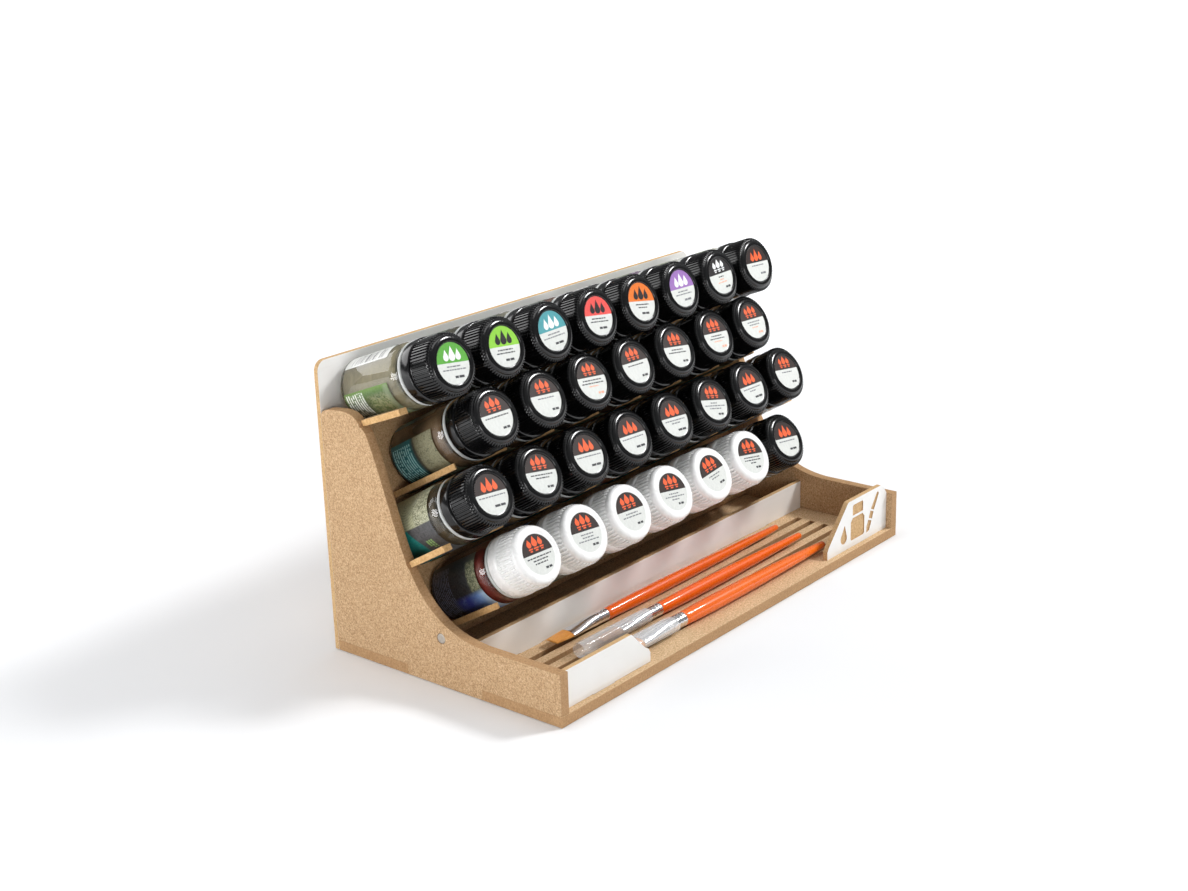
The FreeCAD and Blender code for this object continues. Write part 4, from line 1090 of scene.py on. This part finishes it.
        def tube_at(i, j, rp=ring_pts, ra=ra, rb=rb):
            s, d = rp[i]
            t = 2 * math.pi * j / 48
            wob = 1.0 + 0.006 * math.sin(s * 0.21) * math.cos(2 * t)
            return (s, (ra - d - 0.02) * wob * math.cos(t), (rb - d - 0.02) * math.sin(t) * (2 - wob))
        me = grid_mesh("tube_%d" % k, len(ring_pts), 48, tube_at, True, None, None, 60.0)
        bm = bmesh.new()
        bm.from_mesh(me)
        bmesh.ops.remove_doubles(bm, verts=bm.verts, dist=1e-7)
        bmesh.ops.recalc_face_normals(bm, faces=bm.faces)
        bm.to_mesh(me)
        bm.free()
        mark_sharp(me, 60.0)
        piece("brush_%d_clear_tube" % k, me, TUBE, at, body, ("brush_%d_sleeve" % k,))

# ------------------------------------------------------------------ magnets
for side, sx in (("left", -1), ("right", 1)):
    lo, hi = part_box("magnet_%s" % side)
    mid = (lo + hi) / 2
    face_x = -0.165 if sx < 0 else 0.165
    prof = [(0, 0.0), (2.2, 0.0), (2.62, -0.05), (2.82, -0.22), (2.88, -0.5), (2.88, -2.95), (0, -3.0)]
    me = lathe("magnet_%s" % side, prof, 40, 50.0, flip=True)
    m = Matrix.Translation(Vector((face_x, mid.y, mid.z))) @ Matrix.Rotation(math.radians(90 * sx), 4, "Y")
    piece("magnet_%s_disc" % side, me, NICKEL, m, "root", ("magnet_%s" % side,))


# ------------------------------------------------------------- floor, light
def floor():
    m = Mat("studio_floor")
    vec = m.coord()
    n = m.noise(3.0, 3.0, 0.5, vec)
    m.set("Base Color", m.mix(m.span(n, 0.3, 0.7), (0.85, 0.857, 0.87, 1), (0.875, 0.882, 0.895, 1)))
    m.set("Roughness", m.span(n, 0.3, 0.7, 0.75, 0.85))
    m.set("Specular IOR Level", 0.1)
    m.set("Emission Color", (1, 1, 1, 1))
    far = m.nt.nodes.new("ShaderNodeVectorMath")
    far.operation = "LENGTH"
    m.link(vec, far.inputs[0])
    m.set("Emission Strength", m.span(far.outputs["Value"], 0.22, 1.6, 0.0, 0.95, smooth=True))
    me = bpy.data.meshes.new("studio_floor")
    s = 18.0
    me.from_pydata([(-s, -s, -0.0003), (s, -s, -0.0003), (s, s, -0.0003), (-s, s, -0.0003)], [], [(0, 1, 2, 3)])
    me.materials.append(m.mat)
    obj = link(bpy.data.objects.new("studio_floor", me))
    return obj


floor()


def soft_box(name, at, aim, size, watts, colour=(1, 1, 1)):
    data = bpy.data.lights.new(name, "AREA")
    data.shape = "RECTANGLE"
    data.size, data.size_y = size
    data.energy = watts
    data.color = colour
    obj = link(bpy.data.objects.new(name, data))
    obj.location = at
    obj.rotation_euler = (Vector(aim) - Vector(at)).to_track_quat("-Z", "Y").to_euler()
    return obj


soft_box("top_soft", (0.05, 0.15, 1.5), (0.0, 0.0, 0.05), (1.2, 0.8), 6.5)
soft_box("key_right", (1.15, -0.85, 1.35), (0.0, 0.0, 0.06), (0.42, 0.42), 26.0)
soft_box("left_back", (-1.35, 0.45, 0.34), (0.0, 0.0, 0.10), (0.5, 0.4), 6.6)
soft_box("left_front", (-0.95, -1.20, 0.36), (0.0, 0.0, 0.08), (0.5, 0.4), 4.5)
soft_box("behind", (-0.45, 1.45, 0.78), (0.0, 0.0, 0.12), (1.5, 0.7), 10.0)
world = bpy.data.worlds.new("studio_world")
scene.world = world
world.use_nodes = True
wt = world.node_tree
bg = wt.nodes["Background"]
bg.inputs[0].default_value = (0.95, 0.975, 1.0, 1.0)
sky = wt.nodes.new("ShaderNodeTexCoord")
sep = wt.nodes.new("ShaderNodeSeparateXYZ")
grade = wt.nodes.new("ShaderNodeMapRange")
wt.links.new(sky.outputs["Generated"], sep.inputs[0])
wt.links.new(sep.outputs[2], grade.inputs[0])
for k, v in enumerate((-0.05, 0.9, 0.17, 0.35)):
    grade.inputs[1 + k].default_value = v
ray = wt.nodes.new("ShaderNodeLightPath")
seen = wt.nodes.new("ShaderNodeMath")
seen.operation = "MAXIMUM"
wt.links.new(grade.outputs[0], seen.inputs[0])
wt.links.new(ray.outputs["Is Camera Ray"], seen.inputs[1])
wt.links.new(seen.outputs[0], bg.inputs[1])

# ------------------------------------------------------------------- camera
cam_data = bpy.data.cameras.new("photo_camera")
cam_data.sensor_fit = "HORIZONTAL"
cam_data.sensor_width = 36.0
cam_data.lens = 1792.0 / 1188.0 * 36.0
cam_data.clip_start = 0.01
cam_data.clip_end = 100.0
cam = link(bpy.data.objects.new("photo_camera", cam_data))
fwd = Vector((0.73119, 0.60650, -0.31231)).normalized()
side = fwd.cross(Vector((0, 0, 1))).normalized()
rise = side.cross(fwd).normalized()
roll = math.radians(-1.695)
right = math.cos(roll) * side + math.sin(roll) * rise
up = math.cos(roll) * rise - math.sin(roll) * side
turn = Matrix((right, up, -fwd)).transposed().to_4x4()
cam.matrix_world = Matrix.Translation(Vector((-0.77648, -0.61619, 0.41596))) @ turn
scene.camera = cam
